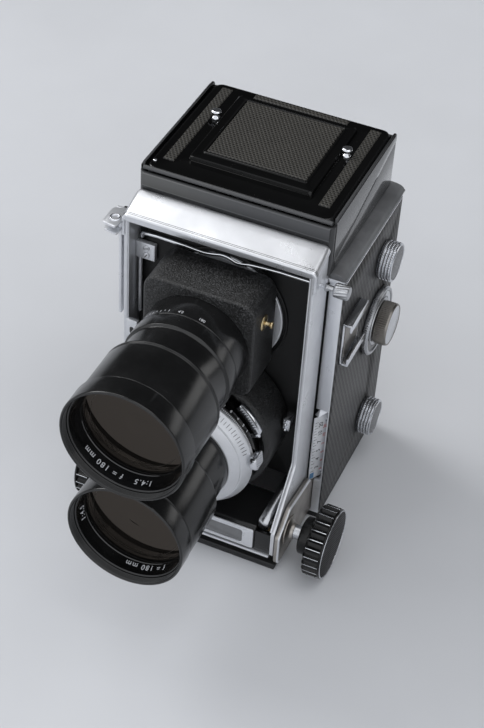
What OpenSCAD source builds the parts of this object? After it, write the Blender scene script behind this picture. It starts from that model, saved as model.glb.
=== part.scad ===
// Twin lens reflex camera with interchangeable lenses, bellows and rack focusing.
// Origin: centre of the tripod socket's mouth, on the base plane. +Z is up.
// The lenses look towards -Y. The user stands at +Y, so +X is the user's left side.

/* [Body] */
// Width over the side coverings
body_w = 91; // [89:0.5:93]
// Wall thickness of the body casting
wall = 2; // [1.6:0.1:2.2]
// Height of the body's side edge above the base plane
side_top = 129.4; // [129:0.1:130]
// Thickness of the leatherette coverings
covering_t = 0.5; // [0.3:0.1:0.5]

/* [Lenses] */
// Distance between the viewing and the taking lens axes
lens_gap = 50; // [49.8:0.1:50.2]
// Height of the taking lens axis
take_z = 57.6; // [57.4:0.1:57.8]
// Outer radius of the viewing lens's filter ring
view_ring_r = 24.8; // [24:0.1:25]
// Outer radius of the taking lens's filter ring
take_ring_r = 24; // [23.6:0.1:24.4]

/* [Focusing] */
// Furthest travel of the front standard on its racks
focus_travel = 50; // [30:1:50]
// Number of teeth on each focusing pinion
pinion_teeth = 10; // [10]
// Radius of the focusing knobs
knob_r = 15.2; // [14.6:0.1:15.4]
// Overall width over the focusing knobs
overall_w = 122; // [119:0.5:124]

/* [Finder] */
// Width of the waist level finder
finder_w = 79.6; // [79:0.1:80]
// Thickness of the folding hood's sheet metal
sheet_t = 0.8; // [0.6:0.1:0.9]

/* [Mounts] */
// Radius of the quarter inch tripod socket
tripod_r = 3.175; // [3.175]
// Depth of the tripod socket
tripod_depth = 8; // [6:0.5:9]

/* [Hidden] */
$fn = 72;

run_gap = 0.05;      // radial clearance of a shaft in its bore
seat_gap = 0.02;     // clearance between pieces that are fixed together

// body
half = body_w / 2;
shell = half - covering_t;
inner = shell - wall;
front_y = -33;
back_y = 31.2;
base_t = 3;
view_z = take_z + lens_gap;
gate_half = 28;
spool_y = 13;
lower_spool_z = 22.8;
upper_spool_z = 109;
dial_y = 12;
dial_z = 77.6;
socket_r = 2.5;      // shafts through the side walls
scale_z = 23.2;
scale_screw_x = 6.2;
cheek_x = 39.4;
cheek_t = 2.2;
cheek_low = 3.6;
cheek_high = 23;
cheek_back = -25;

// front standard, which slides towards -Y
std_y = -50;
std_half = 39.04;
std_back = -34.5;
plate_t = 1.7;
foot_y = std_y - 18.9;
foot_top = 21;
board_y = -41;
bail_y = -42.2;
bail_z = 132.8;
bail_r = 0.75;
hood_top = 148;
ring_r = 28.35;      // aperture and speed rings, just clear of the viewing lens

// focusing drive
left_out = overall_w / 2;
right_out = 50.7;    // the right knob sits close to its cheek
left_long = 8.4;
right_long = 7.2;
right_boss = 41.9;
axle_y = std_y - 8;
axle_z = 15.7;
axle_r = 3;
pinion_module = 1;
pinion_r = pinion_module * pinion_teeth / 2;
pressure_angle = 25;
addendum = 0.8;
dedendum = 1.1;
backlash = 0.12;
pitch = PI * pinion_module;
rack_x = 33;
rack_w = 4;
rack_back = -0.6;

// finder
finder_half = finder_w / 2;
finder_in = finder_half - 1.2;
finder_front = -36.2;
finder_back = 31.8;
rim_z = 157.25;
lid_hinge_y = finder_front + 1.6;
lid_hinge_z = 156.1;
wing_x = 37.2;
wing_z = 152;
wing_len = 36.5;
back_wing_y = 29.6;
back_wing_z = 149.8;
back_wing_len = 30;
magnifier_y = 5.4;
magnifier_z = 154.3;

// back door
door_hinge_y = 32.2;
door_hinge_z = 4.6;
door_t = 2.1;
pin_r = 1.2;

// crank
crank_r = 22;

// ---------- shared shapes ----------

// Outline of a rectangle centred on the origin, with round corners of radius r
function round_rect(w, h, r, n = 5) = [
    for (c = [[1, 1, 0], [-1, 1, 90], [-1, -1, 180], [1, -1, 270]])
        for (i = [0:n])
            [c[0] * (w / 2 - r) + r * cos(c[2] + 90 * i / n),
             c[1] * (h / 2 - r) + r * sin(c[2] + 90 * i / n)]
];

// A box between two opposite corners
module box(a, b) {
    translate(a) cube(b - a);
}

// A cylinder along X, from x0 to x1
module rod_x(x0, x1, y, z, r) {
    translate([x0, y, z]) rotate([0, 90, 0]) cylinder(h = x1 - x0, r = r);
}

// A cylinder along Y, from y0 to y1
module rod_y(x, y0, y1, z, r) {
    translate([x, y0, z]) rotate([-90, 0, 0]) cylinder(h = y1 - y0, r = r);
}

// A plate in the XZ plane from y0 to y1, from a list of [x, z] points
module plate_xz(y0, y1, points) {
    translate([0, y1, 0]) rotate([90, 0, 0]) linear_extrude(y1 - y0) polygon(points);
}

// A plate in the YZ plane from x0 to x1, from a list of [y, z] points
module plate_yz(x0, x1, points) {
    translate([x0, 0, 0]) rotate([90, 0, 90]) linear_extrude(x1 - x0) polygon(points);
}

// A round section turned about the lens axis at height z, from [radius, forward] points
module turned(z, points) {
    translate([0, 0, z]) rotate([90, 0, 0]) rotate_extrude() polygon(points);
}

// A round section turned about an X axis, from [radius, outward] points
module turned_x(y, z, side, points) {
    translate([0, y, z]) rotate([0, 90 * side, 0]) rotate_extrude() polygon(points);
}

// The same solid on both sides of the YZ plane
module both_sides() {
    children();
    mirror([1, 0, 0]) children();
}

function degrees_of(radians) = radians * 180 / PI;
function involute_angle(a) = degrees_of(tan(a)) - a;

// ---------- body ----------

module body_shell() {
    color("silver")
    difference() {
        union() {
            difference() {
                box([-shell, front_y, base_t], [shell, back_y, side_top]);
                box([-inner, front_y + wall, base_t + wall], [inner, back_y + 1, side_top - wall]);
                box([-std_half - 0.36, front_y - 1, base_t + wall],
                    [std_half + 0.36, front_y + wall + 1, side_top - wall]);
            }
            // shelf between the viewing and the taking chambers
            box([-inner - 1, -18, 83.5], [inner + 1, 8, 84.7]);
            // cross rods that carry the mirror
            rod_x(-inner - 1, inner + 1, -17.1, 94.5, 1.5);
            rod_x(-inner - 1, inner + 1, 12.6, 124.2, 1.5);
            // knuckles for the back door's pin
            both_sides() box([22, back_y - 3, base_t], [shell - 4, back_y + door_t, base_t + 4]);
        }
        // scoop for the door's own knuckle
        rod_x(-22, 22, door_hinge_y, door_hinge_z, pin_r + 0.6);
        // light well under the focusing screen
        box([-25.5, -28.5, side_top - wall - 1], [25.5, 18.5, side_top + 1]);
        // recess for the distance scale in the left front corner
        box([std_half, front_y - 1, scale_z - 1.2], [shell - 0.4, front_y + 6.5, scale_z + 38.8]);
        // slots for the cheek plates
        both_sides() box([cheek_x - seat_gap, front_y - 1, cheek_low - seat_gap],
            [cheek_x + cheek_t + seat_gap, cheek_back + seat_gap, cheek_high + seat_gap]);
        // shaft holes in the side walls
        for (z = [lower_spool_z, upper_spool_z])
            rod_x(inner - 1, shell + 1, spool_y, z, socket_r + run_gap);
        rod_x(inner - 1, shell + 1, dial_y, dial_z, 4 + run_gap);
        rod_x(-shell - 1, -inner + 1, spool_y, upper_spool_z, socket_r + run_gap);
        rod_x(-shell - 1, shell + 1, door_hinge_y, door_hinge_z, pin_r + run_gap);
        // clearance for the tripod bush
        translate([0, 0, 1]) cylinder(h = 6, r = 9);
    }
}

module top_plate() {
    shoulder = [
        [shell, side_top], [half + 0.2, side_top + 0.1], [half + 0.2, side_top + 0.7],
        for (i = [0:4]) [finder_half + 5.4 * cos(90 * i / 4), side_top + 0.9 + 2 * sin(90 * i / 4)]
    ];
    left = [for (i = [len(shoulder) - 1:-1:0]) [-shoulder[i][0], shoulder[i][1]]];
    color("dimgray")
    difference() {
        plate_xz(front_y, back_y + 2.1, concat(shoulder, left));
        box([-25.5, -28.5, side_top - 1], [25.5, 18.5, side_top + 4]);
        box([-27.2, -30.2, side_top + 1], [27.2, 20.2, side_top + 4]);
        box([-11, back_y - 0.4, side_top - 1], [11, back_y + 3, side_top + 4]);
    }
}

module base_plate() {
    color("black")
    difference() {
        union() {
            box([-half + 0.5, front_y, 0], [half - 0.5, back_y, base_t]);
            box([-std_half - 0.8, foot_y + 0.6, 0], [std_half + 0.8, front_y + 0.5, base_t]);
            // channels that guide the racks
            both_sides() difference() {
                box([rack_x - 3.4, front_y + 3, base_t + wall + seat_gap],
                    [rack_x + 3.4, rack_back + 1, 27.2]);
                box([rack_x - 2.3, front_y, 19.2], [rack_x + 2.3, 7, 25.6]);
                box([rack_x - 5, front_y, 8], [rack_x + 2.3, 7, 25.6]);
            }
        }
        translate([0, 0, -1]) cylinder(h = 6, r = 8 + seat_gap);
    }
}

module tripod_bush() {
    color("silver")
    difference() {
        union() {
            cylinder(h = 3.4, r = 8);
            cylinder(h = tripod_depth + 1.4, r = 6);
        }
        translate([0, 0, -1]) cylinder(h = tripod_depth + 1, r = tripod_r);
    }
}

module side_covering() {
    color("dimgray")
    for (side = [1, -1])
        difference() {
            box([side > 0 ? shell : -half, front_y + 0.6, base_t + 1],
                [side > 0 ? half : -shell, back_y, side_top - 2]);
            for (z = [lower_spool_z, upper_spool_z])
                rod_x(-half - 1, half + 1, spool_y, z, 4);
            if (side > 0) rod_x(shell - 1, half + 1, dial_y, dial_z, 5);
            if (side > 0) box([shell - 1, -30, 88], [half + 1, -12.5, 105.6]);
        }
}

module focus_cheeks() {
    front = foot_y - 0.7;
    corner_r = 4.6;
    outline = concat(
        [[cheek_back, cheek_high], [-35.6, cheek_high], [-36.6, cheek_high + 2.8]],
        [[axle_y - 0.8, 28.6], [front, 20.8]],
        [for (a = [0:22.5:90]) [front + corner_r * (1 - cos(a)), cheek_low + corner_r * (1 - sin(a))]],
        [[cheek_back, cheek_low]]);
    color("silver")
    for (side = [1, -1])
        mirror([side > 0 ? 0 : 1, 0, 0]) difference() {
            union() {
                plate_yz(cheek_x, cheek_x + cheek_t, outline);
                rod_x(cheek_x + 1, side > 0 ? 44.2 : right_boss, axle_y, axle_z, 6);
            }
            rod_x(39, 46, axle_y, axle_z, axle_r + run_gap);
        }
}

// Across the left front corner of the body, in the distance scale's plane
module on_corner() {
    translate([39.6, -35, scale_z]) rotate([0, 0, 58.4]) children();
}

module distance_scale() {
    color("white")
    on_corner()
        difference() {
            box([0, -0.8, 0], [7.4, 0, 35.1]);
            for (z = [2.6, 32.4]) rod_y(scale_screw_x, -2, 2, z, 0.42);
        }
}

module scale_screws() {
    color("silver")
    on_corner()
        for (z = [2.6, 32.4])
            translate([scale_screw_x, -0.82, z]) rotate([90, 0, 0]) difference() {
                cylinder(h = 0.6, r = 0.9);
                translate([-2, -0.12, 0.3]) cube([4, 0.24, 1]);
            }
}

module accessory_shoe() {
    x0 = half + seat_gap;
    color("silver")
    difference() {
        union() {
            box([x0, -30.5, 86.3], [x0 + 0.9, -12, 107.3]);
            box([x0 - 0.5, -29.8, 88.2], [x0 + 0.2, -12.7, 105.4]);
            for (z = [86.3, 106.3]) box([x0, -30.5, z], [x0 + 3.8, -12, z + 1]);
            for (z = [86.3, 103.5]) box([x0 + 2.9, -30.5, z], [x0 + 3.8, -12, z + 3.8]);
        }
        for (y = [-26, -16.5])
            rod_x(x0 - 1, x0 + 2, y, 96.8, 1.3);
    }
}

module reflex_mirror() {
    color("lightblue")
    translate([0, -9.3, view_z]) rotate([45, 0, 0])
        box([-27, -27.5, -2], [27, 27.5, 0]);
}

module focusing_screen() {
    color("white")
    box([-27, -30, side_top + 1.02], [27, 20, side_top + 2.6]);
}

module film_gate() {
    gate_y = 25.6;
    color("black")
    difference() {
        box([-inner + 0.1, gate_y, 26], [inner - 0.1, gate_y + 1.8, 97]);
        box([-gate_half, 20, take_z - gate_half], [gate_half, 30, take_z + gate_half]);
    }
    color("silver")
    both_sides()
        box([gate_half + 1.5, gate_y + 1.8, 27], [gate_half + 2.6, gate_y + 2.3, 96]);
}

module bellows() {
    color("black")
    difference() {
        box([-37.5, -34.2, 28], [37.5, -21.5, 126]);
        box([-33.5, -40, 32], [33.5, -10, 122]);
    }
}

// ---------- waist level finder ----------

module finder_base() {
    color("black")
    difference() {
        box([-finder_half, finder_front, side_top + 3], [finder_half, finder_back, rim_z]);
        box([-finder_in, finder_front + 1.2, side_top + 4], [finder_in, finder_back - 1.2, rim_z + 1]);
        box([-27, -30, side_top + 2], [27, 20, side_top + 5]);
        box([-finder_in, finder_front - 1, 154.9], [finder_in, finder_front + 3, rim_z + 1]);
        // blind sockets for the hinge rods
        rod_x(-finder_in - 0.8, finder_in + 0.8, lid_hinge_y, lid_hinge_z, 0.95);
        rod_x(-finder_in - 0.8, finder_in + 0.8, back_wing_y, back_wing_z, 0.95);
        for (x = [-wing_x, wing_x])
            rod_y(x, finder_front + 0.4, finder_back - 0.4, wing_z, 0.95);
    }
}

module finder_lid() {
    color("black")
    difference() {
        union() {
            box([-38.3, lid_hinge_y, 155.6], [38.3, 30.3, 156.6]);
            rod_x(-finder_in - 0.7, finder_in + 0.7, lid_hinge_y, lid_hinge_z, 0.9);
            box([-25.6, -23, 156], [25.6, 25.8, 158.2]);
            for (x = [-15, 13.6]) box([x, magnifier_y - 1.6, 153.1], [x + 1.4, magnifier_y + 1.6, 156]);
        }
        box([-20.8, -17, 157.7], [20.8, 22.3, 159]);
        rod_x(-20, 20, magnifier_y, magnifier_z, 0.8);
    }
}

module lid_covering() {
    color("darkolivegreen") {
        box([-20.6, -16.8, 157.72], [20.6, 22.1, 158.5]);
        for (x = [-34.2, 29.6]) box([x, -27, 156.62], [x + 4.6, 28.5, 157.15]);
        box([-20.2, 26.4, 156.62], [20.2, 29.9, 157.15]);
    }
}

module lid_studs() {
    color("silver")
    for (x = [-27.6, 27.6])
        translate([x, 7.5, 156.62])
            rotate_extrude($fn = 36)
                polygon([[0, 0], [1.75, 0], [1.75, 0.6], [0.8, 1.3],
                    [0.8, 2.4], [2.1, 3], [1.6, 3.6], [0, 3.8]]);
}

module side_wing() {
    start = lid_hinge_y + 1;
    linear_extrude(sheet_t) polygon([
        [-wing_x, start], [-wing_x, 30.2], [-wing_x + wing_len, 30.2],
        [-wing_x + wing_len, start + wing_len]
    ]);
    translate([0, 0, sheet_t / 2])
        rod_y(-wing_x, finder_front + 0.5, finder_back - 0.5, 0, 0.9);
}

module right_wing() {
    color("black") translate([0, 0, wing_z - sheet_t / 2]) side_wing();
}

module left_wing() {
    color("black") mirror([1, 0, 0]) translate([0, 0, wing_z - sheet_t / 2]) side_wing();
}

module back_wing() {
    wide = wing_x - 0.9;
    color("black") {
        translate([0, 0, back_wing_z - sheet_t / 2]) linear_extrude(sheet_t) polygon([
            [-wide, back_wing_y], [wide, back_wing_y],
            [wide - back_wing_len, back_wing_y - back_wing_len],
            [back_wing_len - wide, back_wing_y - back_wing_len]
        ]);
        rod_x(-finder_in - 0.7, finder_in + 0.7, back_wing_y, back_wing_z, 0.9);
    }
}

module magnifier_frame() {
    color("black")
    difference() {
        union() {
            box([-13, magnifier_y, 153.5], [13, 29.4, 155.1]);
            rod_x(-14.9, 14.9, magnifier_y, magnifier_z, 0.75);
        }
        translate([0, 17.6, 150]) cylinder(h = 8, r = 10.6);
    }
}

module magnifier_lens() {
    color("lightblue")
    translate([0, 17.6, magnifier_z])
        rotate_extrude() polygon([[0, -0.8], [10.58, -0.35], [10.58, 0.35], [0, 0.8]]);
}

// ---------- side controls ----------

module spool_knob(z) {
    rings = [for (i = [0:3]) for (p = [[8.3, 0], [8.3, 0.8], [7.95, 0.95], [7.95, 1.25]])
        [p[0], half + 0.9 + 1.4 * i + p[1]]];
    turned_x(spool_y, z, 1, concat(
        [[0, 29.6], [socket_r, 29.6], [socket_r, half + 0.5], [8.2, half + 0.5]],
        rings, [[8, half + 6.6], [0, half + 6.6]]));
}

module upper_spool_knob() {
    color("silver") spool_knob(upper_spool_z);
}

module lower_spool_knob() {
    color("silver") spool_knob(lower_spool_z);
}

module lock_dial() {
    color("gray")
    difference() {
        turned_x(dial_y, dial_z, 1, [
            [2.05, 39.5], [4, 39.5], [4, half + 0.4], [15.1, half + 0.4],
            [15.1, half + 2.6], [14.2, half + 2.8], [2.05, half + 2.8]
        ]);
        translate([half + 2.2, dial_y, dial_z]) rotate([0, 90, 0]) difference() {
            cylinder(h = 2, r = 13.2);
            translate([0, 0, -1]) cylinder(h = 4, r = 10.4);
        }
    }
}

module lock_knob() {
    color("gray")
    difference() {
        turned_x(dial_y, dial_z, 1, [
            [0, 40.5], [2, 40.5], [2, half + 2.9], [9.2, half + 2.9],
            [9.2, half + 8.1], [8.7, half + 8.6], [0, half + 8.6]
        ]);
        for (a = [0:15:345])
            translate([0, dial_y, dial_z]) rotate([a, 0, 0])
                box([half + 2, -0.25, 9], [half + 9, 0.25, 12]);
    }
}

module wind_crank() {
    color("silver") {
        difference() {
            union() {
                turned_x(spool_y, upper_spool_z, -1, [
                    [0, 29.6], [socket_r, 29.6], [socket_r, half + 0.4], [9, half + 0.4],
                    [9, half + 3.2], [8.4, half + 3.8], [0, half + 3.8]
                ]);
                plate_yz(-half - 6, -half - 3.6, crank_arm_points());
            }
            rod_x(-half - 7, -half - 1, spool_y - crank_r, upper_spool_z, 1.5 + run_gap);
        }
    }
}

function crank_arm_points() = concat(
    [for (a = [-90:15:90]) [spool_y + 6 * cos(a), upper_spool_z + 6 * sin(a)]],
    [for (a = [90:15:270]) [spool_y - crank_r + 4 * cos(a), upper_spool_z + 4 * sin(a)]]
);

module crank_handle() {
    color("black")
    turned_x(spool_y - crank_r, upper_spool_z, -1, [
        [0, half + 2.6], [2.4, half + 2.6], [2.4, half + 3.5], [1.5, half + 3.5], [1.5, half + 6.1],
        [3.6, half + 6.1], [3.2, half + 12], [3.6, half + 14.5], [2.8, half + 15.5], [0, half + 15.5]
    ]);
}

module spool(z) {
    difference() {
        turned_x(spool_y, z, 1, [
            [0, -32.5], [12.5, -32.5], [12.5, -31.7], [5.5, -31.5],
            [5.5, 31.5], [12.5, 31.7], [12.5, 32.5], [0, 32.5]
        ]);
        for (x = [-33, 29]) rod_x(x, x + 4, spool_y, z, socket_r + run_gap);
    }
}

module take_up_spool() {
    color("dimgray") spool(upper_spool_z);
}

module supply_spool() {
    color("dimgray") spool(lower_spool_z);
}

// ---------- back door ----------

module back_door() {
    color("silver")
    union() {
        box([-shell, back_y + 0.05, 8.2], [shell, back_y + door_t, side_top - 0.3]);
        box([-21.6, back_y + 0.05, door_hinge_z], [21.6, back_y + door_t, 9]);
        rod_x(-21.6, 21.6, door_hinge_y, door_hinge_z, pin_r + 0.4);
        rod_x(-shell + 4, shell - 4, door_hinge_y, door_hinge_z, pin_r);
    }
}

module door_covering() {
    color("dimgray")
    difference() {
        box([-shell + 1, back_y + door_t + seat_gap, 9.5],
            [shell - 1, back_y + door_t + covering_t, side_top - 2]);
        box([-12, back_y, 106], [12, back_y + 5, side_top]);
    }
}

module pressure_plate() {
    color("black") {
        box([-31, 28.2, take_z - 34], [31, 29.4, take_z + 34]);
        for (z = [take_z - 20, take_z + 20])
            rod_y(0, 29.2, back_y + 0.03, z, 4);
    }
}

module door_latch() {
    y0 = back_y + door_t + seat_gap;
    color("silver")
    plate_yz(-9.5, 9.5, [
        [y0, 108], [y0 + 1.6, 109], [y0 + 1.6, side_top + 2.2], [back_y + 0.9, side_top + 2.2],
        [back_y + 0.9, side_top + 0.4], [y0, side_top + 0.4]
    ]);
}

// ---------- focusing drive ----------

module focus_shaft() {
    color("silver") rod_x(-right_out + 3, left_out - 3, axle_y, axle_z, axle_r);
}

// One involute spur gear, facing +Z, with a tooth centred on +Y
module pinion(width) {
    base_r = pinion_r * cos(pressure_angle);
    tip_r = pinion_r + addendum;
    root_r = pinion_r - dedendum;
    half_tooth = degrees_of((pitch / 2 - backlash) / 2 / pinion_r);
    function flank(r) = half_tooth + involute_angle(pressure_angle)
        - (r > base_r ? involute_angle(acos(base_r / r)) : 0);
    radii = [for (i = [0:4]) base_r + (tip_r - base_r) * i / 4];
    linear_extrude(width)
        difference() {
            polygon([for (t = [0:pinion_teeth - 1]) let (a = 90 - 360 * t / pinion_teeth)
                for (p = concat(
                    [[root_r, a + flank(base_r)]],
                    [for (r = radii) [r, a + flank(r)]],
                    [for (i = [4:-1:0]) [radii[i], a - flank(radii[i])]],
                    [[root_r, a - flank(base_r)]]))
                    p[0] * [cos(p[1]), sin(p[1])]]);
            circle(r = axle_r + seat_gap);
        }
}

module pinions() {
    color("goldenrod")
    for (x = [-rack_x, rack_x])
        translate([x - rack_w / 2, axle_y, axle_z]) rotate([90, 0, 90])
            pinion(rack_w);
}

module focus_racks() {
    line = axle_z + pinion_r;
    count = floor((rack_back - 3.5 - (axle_y - pitch)) / pitch);
    top = line + addendum;
    lean = tan(pressure_angle);
    // the rack has a gap where the pinion has a tooth
    gap = pitch / 2 + backlash;
    teeth = [for (i = [count:-1:0]) let (y = axle_y - pitch + i * pitch)
        for (p = [[y + gap / 2 + lean * addendum, line - addendum],
                  [y + gap / 2 - lean * dedendum, line + dedendum],
                  [y - gap / 2 + lean * dedendum, line + dedendum],
                  [y - gap / 2 - lean * addendum, line - addendum]]) p];
    color("goldenrod")
    for (x = [-rack_x, rack_x])
        plate_yz(x - rack_w / 2, x + rack_w / 2, concat(
            [[foot_y + 2.5, line - addendum], [foot_y + 2.5, top + 3.2],
             [rack_back, top + 3.2], [rack_back, line - addendum]], teeth));
}

// One fluted knob of a given length along the shaft, its face at x = outer on one side
module focus_knob(side, outer, long) {
    difference() {
        turned_x(axle_y, axle_z, side, [
            [axle_r + seat_gap, outer - long], [knob_r - 0.8, outer - long], [knob_r, outer - long + 0.8],
            [knob_r, outer - 0.8], [knob_r - 0.9, outer], [0, outer], [0, outer - 2.8],
            [axle_r + seat_gap, outer - 2.8]
        ]);
        for (a = [0:15:345])
            translate([0, axle_y, axle_z]) rotate([a + 7.5, 0, 0])
                box([side > 0 ? outer - long - 0.4 : -outer + 1.2, -0.6, knob_r - 0.7],
                    [side > 0 ? outer - 1.2 : -outer + long + 0.4, 0.6, knob_r + 1]);
    }
}

module focus_knobs() {
    color("black") {
        focus_knob(1, left_out, left_long);
        focus_knob(-1, right_out, right_long);
    }
}

module knob_collar(side, near, far) {
    turned_x(axle_y, axle_z, side, [
        [axle_r + seat_gap, near], [7.4, near], [8, near + 0.6], [8, far], [axle_r + seat_gap, far]
    ]);
}

module knob_collars() {
    color("black") {
        knob_collar(1, left_out - 13.4, left_out - left_long - 0.05);
        knob_collar(-1, right_boss + 0.1, right_out - right_long - 0.05);
    }
}

// ---------- front standard ----------

module standard_frame() {
    side = [
        [std_y + 1.2, 142.6], [std_y + 0.65, 141.15], [std_y, 141.1], [std_y, 44.3], [foot_y, foot_top],
        [foot_y, 8.4], [foot_y + 1.6, 8.4], [foot_y + 1.6, foot_top + 0.9], [std_back, foot_top + 0.9],
        [std_back, side_top + 2.9], [finder_front - 0.1, side_top + 2.9], [finder_front - 0.1, 145.9]
    ];
    color("silver") {
        difference() {
            both_sides() plate_yz(std_half - plate_t, std_half, side);
            rod_x(30, 45, bail_y, bail_z, bail_r + run_gap);
        }
        // bracket of the release linkage on the right pillar
        box([-std_half + plate_t, std_y, 84], [-std_half + 6, std_y + 1.2, 93]);
    }
}

module front_panel() {
    wide = std_half - plate_t - seat_gap;
    color("black")
    difference() {
        box([-wide, board_y + 1.8, foot_top + 5.2], [wide, board_y + 3.6, 138]);
        box([-31, board_y, 34], [31, board_y + 5, 124]);
    }
}

module name_hood() {
    back = finder_front - 0.5;
    top = [
        [std_y - 0.5, 141.2], [std_y - 0.5, 143.8], [back, hood_top],
        [back, hood_top - 1.3], [std_y + 1, 142.9], [std_y + 0.6, 141.2]
    ];
    flap = [[std_y - 0.5, 134.2], [std_y - 0.5, 143.8], [back, hood_top],
            [back, hood_top - 1.6], [std_y + 1.6, 141.4], [std_y + 1.4, 134.2]];
    color("silver") {
        plate_yz(-std_half - seat_gap, std_half + seat_gap, top);
        both_sides() plate_yz(std_half + seat_gap, std_half + 0.9, flap);
    }
}

module foot_cover() {
    wide = std_half - plate_t - seat_gap;
    color("black") {
        box([-wide, foot_y + 0.3, 8.4], [wide, foot_y + 1.6, foot_top - 1.3]);
        box([-30.4, foot_y + 0.3, foot_top - 1.3], [30.4, std_y + 4, foot_top]);
        both_sides() box([29.4, foot_y + 0.3, 8.4], [wide, foot_y + 2.48, foot_top - 1.3]);
    }
}

module foot_nameplate() {
    wide = std_half - plate_t - seat_gap;
    color("silver") {
        box([-30, foot_y - 0.6, 9.6], [30, foot_y + 0.28, foot_top - 1]);
        box([-wide, foot_y - 0.6, 7.2], [wide, foot_y + 1.6, 8.38]);
    }
}

module release_lever() {
    x = -std_half - 2.4;
    color("silver")
    difference() {
        union() {
            box([x - 5.6, std_y - 4, 138.6], [x + 1, std_y + 9, 139.8]);
            box([x - 5.6, std_y + 7.8, 133.5], [x + 1, std_y + 9, 139.8]);
            box([x - 0.4, std_y + 1, 93.5], [x + 1, std_y + 6, 139.8]);
        }
        translate([x - 2.6, std_y + 1.5, 137]) cylinder(h = 5, r = 1.5);
    }
}

module bail_wire() {
    path = [[-35, -1.6], [-23, -1.4], [-8.2, -2], [-1.4, -0.4],
        [4.3, -2], [10.2, -0.9], [22.5, 0], [43.4, 0]];
    color("silver")
    translate([0, bail_y, bail_z]) {
        for (i = [0:len(path) - 2]) wire_run(path[i], path[i + 1]);
        translate([-35, 0, -3.6]) cylinder(h = 2.1, r = bail_r);
    }
}

// A straight run of wire between two [x, z] points, reaching a little past each
module wire_run(a, b) {
    run = b - a;
    past = 0.25;
    translate([a[0], 0, a[1]]) rotate([0, 90 - atan2(run[1], run[0]), 0])
        translate([0, 0, -past]) cylinder(h = norm(run) + 2 * past, r = bail_r);
}

module bail_knob() {
    color("silver")
    difference() {
        turned_x(bail_y, bail_z, 1, [
            [bail_r + seat_gap, 40.6], [1.4, 40.6], [1.4, 44.4], [2.6, 44.4], [2.9, 44.7],
            [2.9, 50.1], [2.6, 50.4], [0, 50.4], [0, 43.8], [bail_r + seat_gap, 43.8]
        ]);
        for (a = [0:30:330])
            translate([0, bail_y, bail_z]) rotate([a, 0, 0]) box([44, -0.3, 2.6], [51, 0.3, 4]);
    }
}

module bail_clamp() {
    color("silver")
    difference() {
        union() {
            box([-37.2, board_y - 2.2, 119.4], [-29, board_y - 0.05, 127.2]);
            translate([-35.6, board_y - 1.2, 92]) cylinder(h = 28, r = 0.75);
            for (z = [121.4, 125.2]) rod_y(-32, board_y - 2.8, board_y - 2, z, 1.3);
        }
        for (z = [121.4, 125.2]) box([-34, board_y - 3, z - 0.2], [-30, board_y - 2.5, z + 0.2]);
    }
}

// ---------- lens unit ----------

module lens_board() {
    color("black")
    difference() {
        union() {
            box([-34, board_y, 28], [34, board_y + 1.75, 128]);
            rod_y(0, board_y - 3.9, board_y + 1, view_z, 18.5);
            rod_y(0, board_y - 0.3, board_y + 1, view_z, 25.2);
        }
        for (z = [take_z, view_z]) rod_y(0, board_y - 6, board_y + 4, z, 17);
    }
}

module view_housing() {
    color("dimgray")
    difference() {
        translate([0, 0, 109.8]) rotate([90, 0, 0]) translate([0, 0, 45])
            linear_extrude(21) polygon(round_rect(46, 45, 6));
        rod_y(0, -70, -40, view_z, 17);
        rod_y(0, -70, -40, take_z, 31.4);
    }
}

module view_barrel() {
    color("black")
    turned(view_z, [
        [17.5, 66.05], [21.55, 66.05], [21.55, 77.8], [22, 78.3], [22, 85], [21.1, 85.6], [21.1, 96.6],
        [24, 97.6], [24, 119.6], [view_ring_r, 120.1], [view_ring_r, 129.5], [view_ring_r - 1, 129.5],
        [view_ring_r - 1, 127.2], [21.6, 125.4], [19.7, 118.6], [19.7, 112], [17.5, 110]
    ]);
}

module lens_element(z, y, r, rim, bulge, hollow = 0) {
    arc = [for (i = [0:6]) [r * i / 6, y + rim / 2 + bulge * (1 - pow(i / 6, 2))]];
    back = [for (i = [6:-1:0]) [r * i / 6, y - rim / 2 + hollow * (1 - pow(i / 6, 2))]];
    turned(z, concat(back, arc));
}

module view_glass() {
    color("lightblue") {
        lens_element(view_z, 114.5, 19.6, 3, 3.2);
        lens_element(view_z, 43.4, 16.9, 3, 1.5);
    }
}

module shutter_housing() {
    color("dimgray")
    turned(take_z, [
        [17.2, 41.3], [29.5, 41.3], [31.3, 42.5], [31.3, 60.8],
        [30, 62.2], [28.2, 62.2], [28.2, 58.6], [17.2, 58.6]
    ]);
}

module take_barrel() {
    color("black")
    turned(take_z, [
        [17.5, 58.7], [20.9, 58.7], [20.9, 94], [23.8, 95], [23.8, 118.4], [take_ring_r, 118.9],
        [take_ring_r, 126.7], [take_ring_r - 1, 126.7], [take_ring_r - 1, 124.4], [21.4, 122.6],
        [19.7, 116], [19.7, 109], [17.5, 107]
    ]);
}

module take_glass() {
    color("lightblue") {
        lens_element(take_z, 111.8, 19.6, 3, 3);
        lens_element(take_z, 43.4, 16.9, 3, 1.5);
    }
}

module aperture_ring() {
    color("silver") {
        turned(take_z, [
            [20.95, 71], [ring_r, 71], [ring_r, 72], [25.3, 75.9], [24.6, 76.2], [20.95, 78.6]
        ]);
        translate([0, 0, take_z]) rotate([0, -8, 0]) {
            box([ring_r + 0.1, -74.5, -2.6], [31.6, -67.2, 3.4]);
            box([ring_r - 1, -72, -2.6], [ring_r + 1, -71.1, 3.4]);
        }
    }
}

module speed_ring() {
    color("black")
    turned(take_z, [
        [20.95, 62.4], [27.9, 62.4], [27.9, 67], [ring_r, 67.6], [ring_r, 69.6], [27.6, 70.9], [20.95, 70.9]
    ]);
}

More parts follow.
